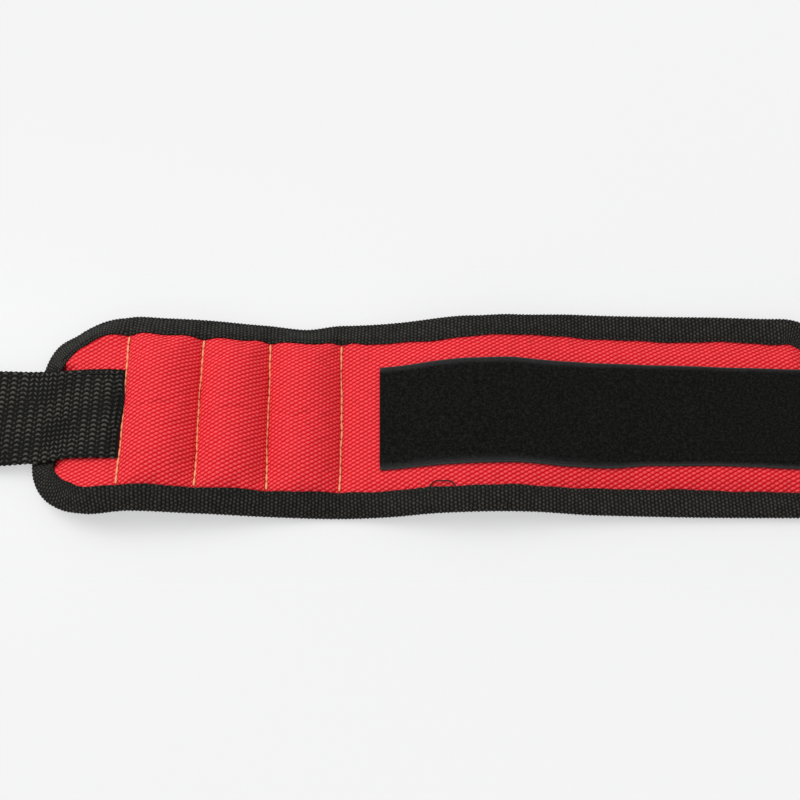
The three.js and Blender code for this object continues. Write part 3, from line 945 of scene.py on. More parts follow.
def twisted(name, light, dark, pitch, gloss):
    """Sewing thread with its twist, whose grooves carry the dark colour as painted shade."""
    if name in bpy.data.materials:
        return bpy.data.materials[name]
    finish, nodes, shader = start_finish(name)
    split = nodes.split(nodes.measure())
    turns = nodes.math("ADD", nodes.math("DIVIDE", split["X"], pitch), split["Y"])
    twist = nodes.math("ABSOLUTE", nodes.math("SINE", nodes.math("MULTIPLY", turns, TURN)))
    inputs = {
        "Base Color": nodes.mix(twist, solid_colour(dark), solid_colour(light)),
        "Roughness": 0.45,
        "Specular IOR Level": gloss,
        "Sheen Weight": 0.1,
    }
    settle(nodes, shader, twist, 0.1 * MM, inputs)
    return finish


def red_fabric(colours):
    """Coarse red weave of the front, with a painted highlight on its yarn tops and painted shade in its
    gaps.
    """
    weave = {"slant": 0.25, "rib": 0.35, "rough": 0.5, "relief": 0.25 * MM, "gloss": 0.04}
    return woven("red_cloth", colours.red_crown_highlight, colours.red_gap_shade, RED_PITCH, **weave)


def binding_tape(colours):
    """Ribbed black tape round the edge, with a painted highlight on its ribs and painted shade between them.
    """
    weave = {"slant": 0.0, "rib": 0.8, "rough": 0.6, "relief": 0.2 * MM}
    weave.update({"fleck": 1.7, "gloss": 0.08, "bead": 0.84})
    return woven("ribbed_tape", colours.binding_rib_highlight, colours.binding_gap_shade, BINDING_PITCH, **weave)


def spacer_mesh(colours):
    """Open mesh of the lining, with painted shade in its gaps."""
    weave = {"slant": 0.0, "rib": 0.0, "rough": 0.8, "relief": 0.5 * MM, "sheen": 0.1}
    return woven("spacer_mesh", colours.lining, colours.webbing_gap_shade, LINING_PITCH, **weave)


def strap_webbing(colours):
    """Webbing whose raised floats carry a painted highlight, with painted shade between them."""
    finish, nodes, shader = start_finish("strap_webbing")
    fibres = flecked(nodes, coarse=150.0, fine=1500.0, depth=1.0)
    relief = nodes.add("ShaderNodeAttribute", attribute_name="Relief").outputs["Fac"]
    # The float tops are mixed towards the painted highlight and the gaps towards the painted shade.
    crown = nodes.ranged(relief, 0.1, 0.75, kind="SMOOTHSTEP")
    lit = nodes.math("MULTIPLY", crown, fibres["Shade"])
    light, dark = solid_colour(colours.webbing_float_highlight), solid_colour(colours.webbing_gap_shade)
    inputs = {
        "Base Color": nodes.mix(lit, dark, light),
        "Roughness": nodes.math("MULTIPLY_ADD", fibres["Grain"], 0.2, 0.4),
        "Specular IOR Level": 0.06,
    }
    settle(nodes, shader, fibres["Grain"], 0.05 * MM, inputs)
    return finish


def black_thread(colours):
    """Thread of the tape and the strap, with painted shade in the grooves of its twist."""
    return twisted("black_thread", colours.black_thread, colours.webbing_gap_shade, pitch=1.1 * MM, gloss=0.15)


def seen_directly(nodes):
    """1 for what the camera sees, also in a mirror or through glass."""
    path = nodes.add("ShaderNodeLightPath").outputs
    seen = nodes.math("MAXIMUM", path["Is Camera Ray"], path["Is Glossy Ray"])
    return nodes.math("MAXIMUM", seen, path["Is Transmission Ray"])


def pale_floor(stage):
    """A pale floor with soft shadows, through which a part that bends below it still shows."""
    finish, nodes, shader = start_finish("pale_floor")
    inputs = {"Base Color": solid_colour(stage.floor), "Roughness": 0.9, "Specular IOR Level": 0.1}
    nodes.fill(shader, inputs)
    half = [max(abs(low), abs(high)) for low, high in zip(*CAD_BOX)]
    spot = nodes.vector("ABSOLUTE", nodes.add("ShaderNodeTexCoord").outputs["Object"])
    spot = nodes.vector("MAXIMUM", nodes.vector("SUBTRACT", spot, half), (0, 0, 0))
    away = nodes.add("ShaderNodeVectorMath", {0: spot}, operation="LENGTH").outputs["Value"]
    beyond = nodes.math("MAXIMUM", nodes.math("SUBTRACT", away, FLOOR_NEAR), 0.0)
    near = nodes.math("POWER", 0.5, nodes.math("DIVIDE", beyond, FLOOR_FADE))
    shown = nodes.math("MULTIPLY_ADD", seen_directly(nodes), -FLOOR_CLEAR, 1.0)
    clear = nodes.add("ShaderNodeBsdfTransparent").outputs["BSDF"]
    inputs = {0: nodes.math("MULTIPLY", near, shown), 1: clear, 2: shader.outputs["BSDF"]}
    mixed = nodes.add("ShaderNodeMixShader", inputs)
    end = finish.node_tree.nodes["Material Output"]
    nodes.feed(end.inputs["Surface"], mixed.outputs["Shader"])
    return finish


# Pieces


def begin(context):
    """The band and its colours, as the user has set them."""
    scene = context.scene
    return Band(scene.wristband_sizes), scene.wristband_colours


def front_grid(band, start, end, step):
    """Places over the red fabric between two places along the band."""
    along = samples(start, end, step)[:, None]
    share = samples(0, 2 * band.half, step)[None, :] / (2 * band.half)
    front, back = -band.reach(along, TUCK, -1), band.reach(along, TUCK, 1)
    across = front + (back - front) * share
    return np.broadcast_arrays(along, across)


def front_sheet(band, name, start, end, step):
    """A grid of red fabric, measured along its own surface."""
    along, across = front_grid(band, start, end, step)
    points = band.place(along, across, band.front_height(along, across))
    measure = np.stack([np.interp(along, band.walk_at, band.walked), across], axis=-1)
    return grid_piece(name, points, measure)


def cut_size(band, start, end):
    """Flat size and area of a piece of fabric between two places along the band."""
    along, across = front_grid(band, start, end, FOAM_STEP)
    widths = across[:, -1] - across[:, 0]
    area = float(((widths[1:] + widths[:-1]) / 2 * np.diff(along[:, 0])).sum())
    return (float(widths.max()), float(end - start)), area


class WristbandFront(bpy.types.Operator):
    """Red fabric on the strap end, in the seams and along the loop tape"""

    bl_idname = "wristband.front"
    bl_label = "Red front fabric"

    def execute(self, context):
        band, colours = begin(context)
        red = red_fabric(colours)
        first, last = band.seams[0], band.seams[-1]
        strips = []
        for k, seam in enumerate(band.seams, 1):
            start, stop = seam - SEAM_STRIP, seam + SEAM_STRIP
            strip = front_sheet(band, f"front_seam_{k}", start, stop, SEAM_STEP)
            self.back_up(band, strip, red)
            bend(strip, f"seam_{k}_fold", seam - band.folds[k - 1])
            strips.append(strip)
        edge = first - SEAM_STRIP
        end = front_sheet(band, "front_strap_end", TUCK, edge, END_STEP)
        self.back_up(band, end, red, "front_end")
        self.declare(band, end, TUCK, edge, "foam_strap_end", strips[:2])
        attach(end, "end_panel")
        cuts = [last + SEAM_STRIP, band.middles[5], band.middles[6], band.length - TUCK]
        covers = [["front_loop_1", "front_loop_2"], ["front_loop_3"], ["front_loop_4"]]
        for k, part in enumerate(LOOP_PARTS):
            piece = front_sheet(band, f"front_loop_{part}", cuts[k], cuts[k + 1], FRONT_STEP)
            self.back_up(band, piece, red, *covers[k])
            beside = strips[2:] if k == 0 else []
            self.declare(band, piece, cuts[k], cuts[k + 1], f"foam_loop_{part}", beside)
            bend(piece, f"loop_curl_{k + 1}")
        return {"FINISHED"}

    def back_up(self, band, piece, red, *nodes):
        """Gives a sheet of red fabric its thickness and finish."""
        thicken(piece, band.sizes.fabric_thickness)
        smooth(piece, 40)
        dress(piece, red, "red_fabric", *nodes)

    def declare(self, band, piece, start, end, under, beside):
        """Works out the flat size of a sheet of red fabric, and keeps nothing of it."""
        flat, area = cut_size(band, start, end)


def puff(piece, held):
    """Blows a held sheet up like a stuffed pocket and keeps its creases."""
    mesh = piece.data
    before = coordinates(mesh)
    mesh.transform(Matrix.Scale(PUFF_SCALE, 4))
    group = piece.vertex_groups.new(name="held")
    group.add(np.flatnonzero(held).tolist(), 1.0, "REPLACE")
    activate(piece)
    bpy.ops.object.modifier_add(type="CLOTH")
    cloth = piece.modifiers[-1]
    for key, value in POCKET_CLOTH.items():
        setattr(cloth.settings, key, value)
    cloth.settings.effector_weights.gravity = 0
    cloth.collision_settings.use_collision = False
    cloth.point_cache.frame_start = 1
    cloth.point_cache.frame_end = PUFF_FRAMES
    for number in range(1, PUFF_FRAMES + 1):
        bpy.context.scene.frame_set(number)
    bpy.ops.object.modifier_apply(modifier=cloth.name)
    bpy.context.scene.frame_set(1)
    mesh = piece.data
    mesh.transform(Matrix.Scale(1 / PUFF_SCALE, 4))
    moved = coordinates(mesh) - before
    far = np.linalg.norm(moved, axis=1, keepdims=True)
    kept = before + moved * np.minimum(1, PUFF_MOST / np.maximum(far, 1e-9))
    mesh.vertices.foreach_set("co", kept.astype(np.float32).ravel())
    piece.vertex_groups.clear()
    mesh.update()


class WristbandPockets(bpy.types.Operator):
    """Puffed pocket fronts with wadding over the magnets"""

    bl_idname = "wristband.pockets"
    bl_label = "Pockets"

    def execute(self, context):
        band, colours = begin(context)
        red = red_fabric(colours)
        grain = {"rough": 0.9, "coarse": 300.0, "fine": 2500.0, "depth": 0.3, "relief": 0.3 * MM}
        wadding = fibrous("wadding", colours.wadding, **grain, sheen=0.2)
        for k in range(1, POCKETS + 1):
            start = band.seams[k - 1] + SEAM_STRIP
            end = band.seams[k] - SEAM_STRIP
            piece = front_sheet(band, f"pocket_front_{k}", start, end, FRONT_STEP)
            along, across = front_grid(band, start, end, FRONT_STEP)
            self.stuff(band, piece, along, across)
            thicken(piece, band.sizes.fabric_thickness)
            smooth(piece, 60)
            dress(piece, red, "red_fabric", f"pocket_panel_{k}")
            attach(piece, f"pocket_{k}")
            self.fill(band, k, wadding)
        return {"FINISHED"}

    def stuff(self, band, piece, along, across):
        """Holds a pocket front at its seams and under the binding, and blows it up."""
        edge = band.edge(along, across)
        hidden = edge < band.binding_reach(along, across) + 0.4 * MM
        ends = (along < along.min() + 0.1 * MM) | (along > along.max() - 0.1 * MM)
        puff(piece, (hidden | ends).T.ravel())

    def fill(self, band, k, wadding):
        """Wadding between the magnets and a pocket's front."""
        start, end = band.seams[k - 1] + WADDING_INSET, band.seams[k] - WADDING_INSET
        along = samples(start, end, WADDING_STEP[0])[:, None]
        side = band.half - WADDING_SIDE
        out = samples(-side, side, WADDING_STEP[1])
        across = np.concatenate([out, out[::-1], out[:1]])[None, :]
        top = band.front_height(along, out[None, :]) - WADDING_DROP
        floor = WADDING_LEVEL + 0 * top
        top = np.maximum(top, floor + 0.2 * MM)
        height = np.concatenate([top, floor[:, ::-1], top[:, :1]], axis=1)
        along, across = np.broadcast_arrays(along, across)
        points = band.place(along, across, height)
        piece = rolled_piece(f"pocket_wadding_{k}", points, np.stack([along, across], axis=-1), degrees=50)
        dress(piece, wadding, "padding", f"padding_{k}")
        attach(piece, f"pocket_{k}")


class WristbandBinding(bpy.types.Operator):
    """Ribbed tape folded over the band's edge and stitched down"""

    bl_idname = "wristband.binding"
    bl_label = "Edge binding"

    def execute(self, context):
        band, colours = begin(context)
        self.band = band
        self.tape = binding_tape(colours)
        self.thread = black_thread(colours)
        self.tack = stitch_shape(band.sizes.tack_length, BINDING_TACK)
        cuts = band.middles[1:7]
        front, back = band.rim_front + cuts, band.rim_back - cuts
        around = band.rim_length
        strap_nodes = ["binding_end_strap", "binding_front_pocket_1", "binding_back_pocket_1"]
        self.make("binding_strap_end", back[0], around + front[0], "seam_1_fold", strap_nodes)
        names = ["pocket_2", "pocket_3", "loop_1", "loop_2", "loop_3"]
        for k, name in enumerate(names):
            fold = FOLD_NAMES[k + 1]
            self.make(f"binding_front_{k + 1}", front[k], front[k + 1], fold, [f"binding_front_{name}"])
            self.make(f"binding_back_{k + 1}", back[k + 1], back[k], fold, [f"binding_back_{name}"])
        self.make("binding_free_end", front[-1], back[-1], "loop_curl_3", ["binding_end_loop_4"])
        return {"FINISHED"}

    def section(self, distance, lower_rows, fold_rows, upper_rows):
        """Inset and height round the folded tape, from its lower inner edge to its upper one."""
        band = self.band
        fold = band.sizes.binding_fold
        place, inward = band.rim(distance[:, None])
        along, across = place[..., 0], place[..., 1]
        reach = band.binding_reach(along, across)
        lower = np.linspace(0, 1, lower_rows)[None, :]
        turn = np.linspace(-math.pi / 2, math.pi / 2, fold_rows)[None, 1:-1]
        upper = np.linspace(0, 1, upper_rows)[None, :]
        low_inset = band.sizes.binding_width + (fold - band.sizes.binding_width) * lower
        inset = [low_inset + 0 * reach, fold - fold * np.cos(turn) + 0 * reach]
        inset.append(fold + upper * (reach - fold))
        lift = band.edge_lift(along, fold)
        height = [band.edge_lift(along, inset[0]), fold + fold * np.sin(turn) + lift]
        height.append(band.binding_top(along, across, inset[2]))
        slope = [-math.pi / 2 + 0 * inset[0], turn + 0 * reach, math.pi / 2 + 0 * inset[2]]
        joined = [np.concatenate(part, axis=1) for part in (inset, height, slope)]
        return place, inward, *joined

    def make(self, name, start, end, fold, nodes):
        """One length of tape, with its ribs as relief."""
        band = self.band
        distance = samples(start, end, RIB_PITCH / 4)
        place, inward, inset, height, slope = self.section(distance, *BINDING_ROWS)
        steps = np.hypot(np.diff(inset, axis=1), np.diff(height, axis=1))
        walked = np.concatenate([0 * inset[:, :1], np.cumsum(steps, axis=1)], axis=1)
        walked = np.broadcast_to(walked.mean(axis=0), inset.shape)
        repeats = round(band.rim_length / BINDING_PITCH[0]) * distance[:, None] / band.rim_length
        rib = np.cos(TURN * repeats) * np.cos(TURN * walked / BINDING_PITCH[1])
        serrated = RIB_FLAT + RIB_ROUND * np.cos(slope) ** 2
        rib = BINDING_WEAVE * rib + serrated * np.cos(2 * TURN * repeats)
        inset = inset - rib * np.cos(slope)
        height = height + rib * np.sin(slope)
        inset[:, -1:] += EDGE_SAW * np.cos(2 * TURN * repeats)
        at = place + inward * inset[..., None]
        points = band.place(at[..., 0], at[..., 1], height)
        measure = np.stack([repeats * BINDING_PITCH[0] + 0 * walked, walked], axis=-1)
        piece = sheet_piece(name, points, measure, band.sizes.binding_thickness, degrees=50)
        dress(piece, self.tape, "binding_tape", *nodes)
        self.stitch(piece, start, end)
        bend(piece, fold)

    def stitch(self, piece, start, end):
        """Sews the tape down near its inner edge."""
        band = self.band
        distance = samples(start, end, band.sizes.tack_length)
        place, inward = band.rim(distance)
        inset = band.binding_reach(place[:, 0], place[:, 1]) - BINDING_TACK_INSET
        along, across = (place + inward * inset[:, None]).T
        height = band.binding_top(along, across, inset) + 0.05 * MM
        row = sewn_line(piece.name + "_tacks", band, along, across, height, self.tack)
        row.data.materials.append(self.thread)
        join(piece, [row])


class WristbandLining(bpy.types.Operator):
    """Spacer mesh against the wrist"""

    bl_idname = "wristband.lining"
    bl_label = "Lining"

    def execute(self, context):
        band, colours = begin(context)
        mesh = spacer_mesh(colours)
        cuts = [TUCK, *band.middles[1:7], band.length - TUCK]
        covers = [["lining_end", "lining_pocket_1"], ["lining_pocket_2"], ["lining_pocket_3"]]
        covers += [[f"lining_loop_{k}"] for k in (1, 2, 3, 4)]
        for k, nodes in enumerate(covers):
            along, across = front_grid(band, cuts[k], cuts[k + 1], LINING_STEP)
            along, across = along[:, ::-1], across[:, ::-1]
            inside = band.edge(along, across) - band.sizes.binding_width
            under = band.sizes.binding_thickness + LAYER_GAP
            height = eased(inside, [(0.2 * MM, under), (1.6 * MM, 0.0)])
            height = height + band.edge_lift(along, band.edge(along, across))
            points = band.place(along, across, height)
            measure = np.stack([along, across], axis=-1)
            piece = sheet_piece(f"lining_{k + 1}", points, measure, band.sizes.lining_thickness)
            dress(piece, mesh, "lining_mesh", *nodes)
            bend(piece, FOLD_NAMES[k])
            flat, area = cut_size(band, cuts[k], cuts[k + 1])
        return {"FINISHED"}


class WristbandFoam(bpy.types.Operator):
    """Foam sheet between the red fabric and the lining"""

    bl_idname = "wristband.foam"
    bl_label = "Foam"

    def execute(self, context):
        band, colours = begin(context)
        grain = {"rough": 0.95, "coarse": 500.0, "fine": 3000.0, "depth": 0.3, "relief": 0.2 * MM}
        foam = fibrous("foam_sheet", colours.foam, **grain)
        first, last = band.seams[0], band.seams[-1]
        cuts = [last + FOAM_AFTER_SEAM, band.middles[5], band.middles[6], band.length - FOAM_INSET]
        jobs = [("foam_strap_end", FOAM_INSET, first - FOAM_BEFORE_SEAM, ["foam_end"], None)]
        nodes = [["foam_loop_1", "foam_loop_2"], ["foam_loop_3"], ["foam_loop_4"]]
        for k, part in enumerate(LOOP_PARTS):
            jobs.append((f"foam_loop_{part}", cuts[k], cuts[k + 1], nodes[k], f"loop_curl_{k + 1}"))
        drop = band.sizes.fabric_thickness + LAYER_GAP
        share = np.linspace(0, 1, FOAM_ROWS)[None, :]
        for name, start, end, replaced, fold in jobs:
            along = samples(start, end, FOAM_STEP)[:, None]
            front, back = -band.reach(along, FOAM_INSET, -1), band.reach(along, FOAM_INSET, 1)
            along, across = np.broadcast_arrays(along, front + (back - front) * share)
            points = band.place(along, across, band.front_height(along, across) - drop)
            measure = np.stack([along, across], axis=-1)
            piece = sheet_piece(name, points, measure, band.sizes.foam_thickness)
            dress(piece, foam, "foam", *replaced)
            if fold:
                bend(piece, fold)
            else:
                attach(piece, "end_panel")
        return {"FINISHED"}


class WristbandLoopTape(bpy.types.Operator):
    """Brushed loop tape sewn along the band"""

    bl_idname = "wristband.loop_tape"
    bl_label = "Loop tape"

    def execute(self, context):
        band, colours = begin(context)
        sizes = band.sizes
        pile = brushed_loop(colours, sizes)
        tack = stitch_shape(sizes.tack_length, TAPE_TACK)
        thread = black_thread(colours)
        last = band.seams[-1]
        start, end = last + sizes.tape_from_seam, band.length - sizes.tape_from_end
        cuts = [start, band.middles[5], band.middles[6], end]
        sways = [(62, -0.95), (84, -2.0), (96, -2.2), (113, -1.65), (133, -1.55), (150, -1.9)]
        drift = [(start, -1.65 * MM), *in_mm(sways, last), (end, -2.5 * MM)]
        shares = [(50, 1.045), (97, 1.02), (116, 0.978), (142, 0.96), (165, 0.975)]
        stretch = [(start, 1.03), *in_mm(shares, last, 1.0)]
        covers = [("loop_tape_1", "loop_tape_2"), ("loop_tape_3",), ("loop_tape_4",)]
        rough = np.random.default_rng(11)
        round_loop = bar_loop(sizes.tape_width, sizes.tape_thickness, radius=0.5 * MM, step=TAPE_STEP)
        middle = sizes.loop_level + sizes.tape_thickness / 2 + LAYER_GAP
        level = middle + sizes.tape_thickness / 2 - 0.55 * MM
        for k, part in enumerate(LOOP_PARTS):
            along = samples(cuts[k], cuts[k + 1], TAPE_STEP)[:, None]
            across, up = (ring[None, :] for ring in round_loop)
            from_edge = sizes.tape_width / 2 - np.abs(across)
            brushed = from_edge > sizes.selvedge
            sunk = eased(from_edge, [(0.6 * sizes.selvedge, PILE_RISE), (1.4 * sizes.selvedge, 0)])
            raised = np.where(up > 0, -sunk, 0.0)
            fuzz = rough.normal(0, PILE_FUZZ, (len(along), up.shape[1]))
            fuzz[:, -1] = fuzz[:, 0]
            height = middle + up + raised + np.where((up > 0) & brushed, fuzz, 0)
            along, across = np.broadcast_arrays(along, across)
            points = band.place(along, across * eased(along, stretch) + eased(along, drift), height)
            piece = rolled_piece(f"loop_pile_{part}", points, np.stack([along, across], axis=-1), degrees=70)
            dress(piece, pile, "loop_pile", *covers[k])
            marks = samples(cuts[k] + MM, cuts[k + 1] - MM, sizes.tack_length)
            rows = []
            for side in (-1, 1):
                out = side * (sizes.tape_width / 2 - TAPE_TACK_INSET)
                lies = out * eased(marks, stretch) + eased(marks, drift)
                row = sewn_line("tacks", band, marks, lies, level, tack)
                row.data.materials.append(thread)
                rows.append(row)
            join(piece, rows)
            bend(piece, f"loop_curl_{k + 1}")
        return {"FINISHED"}


def webbing_relief(along, across):
    """Woven floats: 0 between them and 1 on top, level in places and slanting in others."""
    pitch, row = WEBBING_PITCH
    turn = TURN * along / pitch
    arched = across - 0.26 * row * np.cos(turn)
    rows = (0.5 + 0.5 * np.cos(TURN * arched / row)) ** 1.5
    zone = np.sin(TURN * (along / 30 + across / 66) / MM + 0.6)
    zone = zone + 0.7 * np.sin(TURN * (across / 23 - along / 71) / MM)
    wide = np.clip(0.42 + 0.8 * np.cos(turn), 0, 1)
    level = wide + 0.7 * np.clip(-np.cos(turn), 0, 1) ** 4
    slanting = 0.5 - 0.5 * np.cos(2 * turn)
    marks = level + (slanting - level) * eased(zone, [(0.1, 0.0), (0.8, 1.0)])
    column, line = np.floor(along / pitch + 0.32), np.rint(arched / row)
    uneven = 0.6 + 0.4 * np.sin(12.9 * column + 78.2 * line) ** 2
    return rows * (0.08 + 0.92 * marks) * uneven


def strap_surface(strap, sizes, start, end):
    """The woven strap between two places along it: points, measure and relief."""
    along = samples(start, end, WEBBING_STEP[0])[:, None]
    width, thickness = sizes.webbing_width, sizes.webbing_thickness
    round_loop = bar_loop(width, thickness, radius=0.6 * MM, step=WEBBING_STEP[1])
    across, up = (ring[None, :] for ring in round_loop)
    worn = eased(along, in_mm([(-1.6, 1.0), (-0.3, 0.4)], strap.length, 1.0))
    relief = webbing_relief(along, across) * worn
    side = np.sign(up)
    flat = np.abs(up) > 0.45 * thickness
    up = up * eased(along, in_mm([(-4, 1.0), (0, 0.7)], strap.length, 1.0))
    deep = np.where(side > 0, 0.55 * MM, 0.3 * MM)
    height = up + np.where(flat, side * (relief - 0.35) * deep, 0)
    ragged = 0.18 * MM * np.cos(2 * TURN * along / WEBBING_PITCH[0])
    bulge = 0.9 * MM * np.exp(-(((across - 5 * MM) / (6 * MM)) ** 2))
    pulled = along + bulge * eased(along, in_mm([(-8, 0), (0, 1)], strap.length, 1.0))
    points = strap.place(pulled, across + np.where(flat, 0, np.sign(across) * ragged), height)
    along, across = np.broadcast_arrays(along, across)
    return points, np.stack([along, across], axis=-1), relief


class WristbandStrap(bpy.types.Operator):
    """Woven strap with its hook patch, sewn to the band's end"""

    bl_idname = "wristband.strap"
    bl_label = "Strap"

    def execute(self, context):
        band, colours = begin(context)
        strap = Strap(band)
        sizes = band.sizes
        webbing = strap_webbing(colours)
        jobs = [("strap_webbing_tip", 0.0, strap.cut, ["webbing_tip"])]
        jobs.append(("strap_webbing_root", strap.cut, strap.length, ["webbing_root", "webbing_anchor"]))
        for name, start, end, nodes in jobs:
            points, measure, relief = strap_surface(strap, sizes, start, end)
            piece = rolled_piece(name, points, measure, degrees=60, relief=relief)
            dress(piece, webbing, "webbing", *nodes)
            if start > 0:
                self.bend_strap(piece, "strap_fold", "end_panel", "strap_root", *STRAP_FOLD_BEND)
            else:
                self.bend_strap(piece, "strap_curl", "strap_root", "strap_tip", *STRAP_CURL_BEND)
        self.hook_patch(sizes, colours)
        self.sew_down(sizes, colours, strap)
        return {"FINISHED"}

    def bend_strap(self, piece, fold, first, second, before, after):
        """Bakes a length of webbing's transform into its mesh."""
        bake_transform(piece)

    def hook_patch(self, sizes, colours):
        """Nylon hooks on their tape, under the strap's tip."""
        grain = {"rough": 0.5, "coarse": 200.0, "fine": 2500.0, "depth": 0.5, "relief": 0.05 * MM}
        nylon = fibrous("hook_nylon", colours.hooks, **grain)
        low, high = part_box("hook_patch")
        across, up = bar_loop(sizes.hook_width, HOOK_BASE, radius=0.25 * MM, step=HOOK_STEP)
        along = samples(low.x, high.x, HOOK_STEP)[:, None]
        along, across, up = np.broadcast_arrays(along, across[None, :], up[None, :])
        points = np.stack([along, across, high.z - HOOK_BASE / 2 + up], axis=-1)
        piece = rolled_piece("hook_face", points, np.stack([along, across], axis=-1), degrees=40)
        dress(piece, nylon, "hook_tape", "hook_patch")
        root = high.z - HOOK_BASE
        hook = self.hook_shape(root - low.z - 0.05 * MM)
        columns = samples(low.x + MM, high.x - 1.5 * MM, HOOK_PITCH)
        rows = samples(low.y + 1.2 * MM, high.y - 1.2 * MM, HOOK_PITCH)
        x, y = np.meshgrid(columns, rows, indexing="ij")
        centres = np.stack([x, y, 0 * x + root], axis=-1).reshape(-1, 3)
        ways = np.tile([1.0, 0.0, 0.0], (len(centres), 1))
        ups = np.tile([0.0, 0.0, 1.0], (len(centres), 1))
        hooks = stitch_row("hooks", centres, ways, ups, hook)
        hooks.data.materials.append(nylon)
        join(piece, [hooks])
        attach(piece, "strap_tip")

    def hook_shape(self, tall):
        """One nylon hook hanging from the patch: a bent wire of four sides."""
        angle = np.linspace(0, 1.25 * math.pi, 7)
        reach = tall - HOOK_BOW
        path = [(0.0, 0.1 * MM)]
        path += [(HOOK_BOW - HOOK_BOW * math.cos(a), -reach - HOOK_BOW * math.sin(a)) for a in angle]
        corners = HOOK_WIRE * np.array([(-1, -1), (1, -1), (1, 1), (-1, 1)])
        points = [(x + a, b, z) for x, z in path for a, b in corners]
        faces = []
        for ring in range(len(path) - 1):
            for side in range(4):
                a, b = 4 * ring + side, 4 * ring + (side + 1) % 4
                faces.append([a, a + 4, b + 4, b])
        faces += [[0, 1, 2, 3], [len(points) - 1 - n for n in range(4)]]
        return np.array(points), faces, np.zeros((len(points), 2))

    def sew_down(self, sizes, colours, strap):
        """Black stitches round the sewn end of the strap."""
        tack = stitch_shape(sizes.tack_length, STRAP_TACK)
        right, left = strap.length - STRAP_SEAM_END, strap.length - STRAP_SEAM_LENGTH
        side = sizes.webbing_width / 2 - STRAP_SEAM_SIDE
        level = sizes.webbing_thickness / 2 + STRAP_SEAM_LIFT
        corners = [(left, -side), (right, -side), (right, side), (left, side)]
        rows = []
        for (a0, b0), (a1, b1) in zip(corners[:-1], corners[1:]):
            count = round(math.hypot(a1 - a0, b1 - b0) / sizes.tack_length) + 1
            along, across = np.linspace(a0, a1, count), np.linspace(b0, b1, count)
            rows.append(sewn_line("strap_stitches", strap, along, across, level, tack))
        piece = rows[0]
        join(piece, rows[1:])
        piece.name = "strap_stitches"
        dress(piece, black_thread(colours), "webbing")
        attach(piece, "end_panel")


class WristbandLooseThread(bpy.types.Operator):
    """Loose loop of black thread beside the front binding"""

    bl_idname = "wristband.loose_thread"
    bl_label = "Loose thread"

    def execute(self, context):
        band, colours = begin(context)
        start = band.seams[-1] + LOOSE_FROM_SEAM
        share = np.linspace(0, 1, LOOSE_POINTS)
        along = start + LOOSE_SPAN * share
        out = -band.half + band.binding_reach(along, -band.half) - 0.8 * MM
        across = out + LOOSE_BOW * np.sin(math.pi * share) ** 0.7 * (1 + 0.25 * np.cos(TURN * share))
        lift = 0.35 * MM + 0.8 * MM * np.sin(math.pi * share)
        middle = band.place(along, across, band.front_height(along, across) + lift)
        ways = np.gradient(middle, axis=0)
        ways /= np.linalg.norm(ways, axis=1, keepdims=True)
        sides = np.cross(ways, [0.0, 0.0, 1.0])
        ups = np.cross(sides, ways)
        angle = np.linspace(0, TURN, LOOSE_SIDES)[None, :, None]
        around = np.cos(angle) * sides[:, None] + np.sin(angle) * ups[:, None]
        points = middle[:, None] + LOOSE_RADIUS * around
        turns = np.broadcast_to(np.linspace(0, 1, LOOSE_SIDES), points.shape[:2])
        measure = np.stack([np.broadcast_to(along[:, None], points.shape[:2]), turns], axis=-1)
        piece = rolled_piece("loose_thread", points, measure, degrees=80)
        dress(piece, black_thread(colours), "binding_tape")
        bend(piece, "loop_curl_1")
        return {"FINISHED"}


class WristbandSeamStitches(bpy.types.Operator):
    """Yellow stitches in the seams between the pockets"""

    bl_idname = "wristband.seam_stitches"
    bl_label = "Seam stitches"

    def execute(self, context):
        band, colours = begin(context)
        sizes = band.sizes
        yellow = twisted("yellow_thread", colours.thread, colours.thread_twist_shade, pitch=1.0 * MM, gloss=0.5)
        shape = stitch_shape(sizes.stitch_length, sizes.thread_width)
        pick = random.Random(5)
        for k, seam in enumerate(band.seams, 1):
            front = -(band.half - band.binding_reach(seam, -band.half) - STITCH_GAP)
            back = band.half - band.binding_reach(seam, band.half) - STITCH_GAP
            across = samples(float(front), float(back), sizes.stitch_length)
            height = band.front_height(seam, across) + THREAD_LIFT[k - 1]
            sway = 0.22 * MM * np.sin(across * 130 + 2 * k) + 0.1 * MM * np.sin(across * 390 + k)
            drift = sway + np.array([pick.uniform(-0.1, 0.1) * MM for _ in across])
            row = sewn_line(f"seam_stitches_{k}", band, seam + drift, across, height, shape)
            dress(row, yellow, "seam_thread", f"seam_thread_{k}")
            bend(row, f"seam_{k}_fold", seam - band.folds[k - 1])
        return {"FINISHED"}


class WristbandMagnets(bpy.types.Operator):
    """Nickel finish of the magnets in the pockets"""

    bl_idname = "wristband.magnets"
    bl_label = "Magnets"

    def execute(self, context):
        colours = context.scene.wristband_colours
        grain = {"rough": 0.3, "coarse": 90.0, "fine": 4000.0, "depth": 0.15, "relief": 0.01 * MM}
        nickel = fibrous("nickel", colours.nickel, **grain, metal=1.0)
        for name, node in frame["nodes"].items():
            if name.startswith("magnet"):
                node.data.materials.clear()
                node.data.materials.append(nickel)
        return {"FINISHED"}


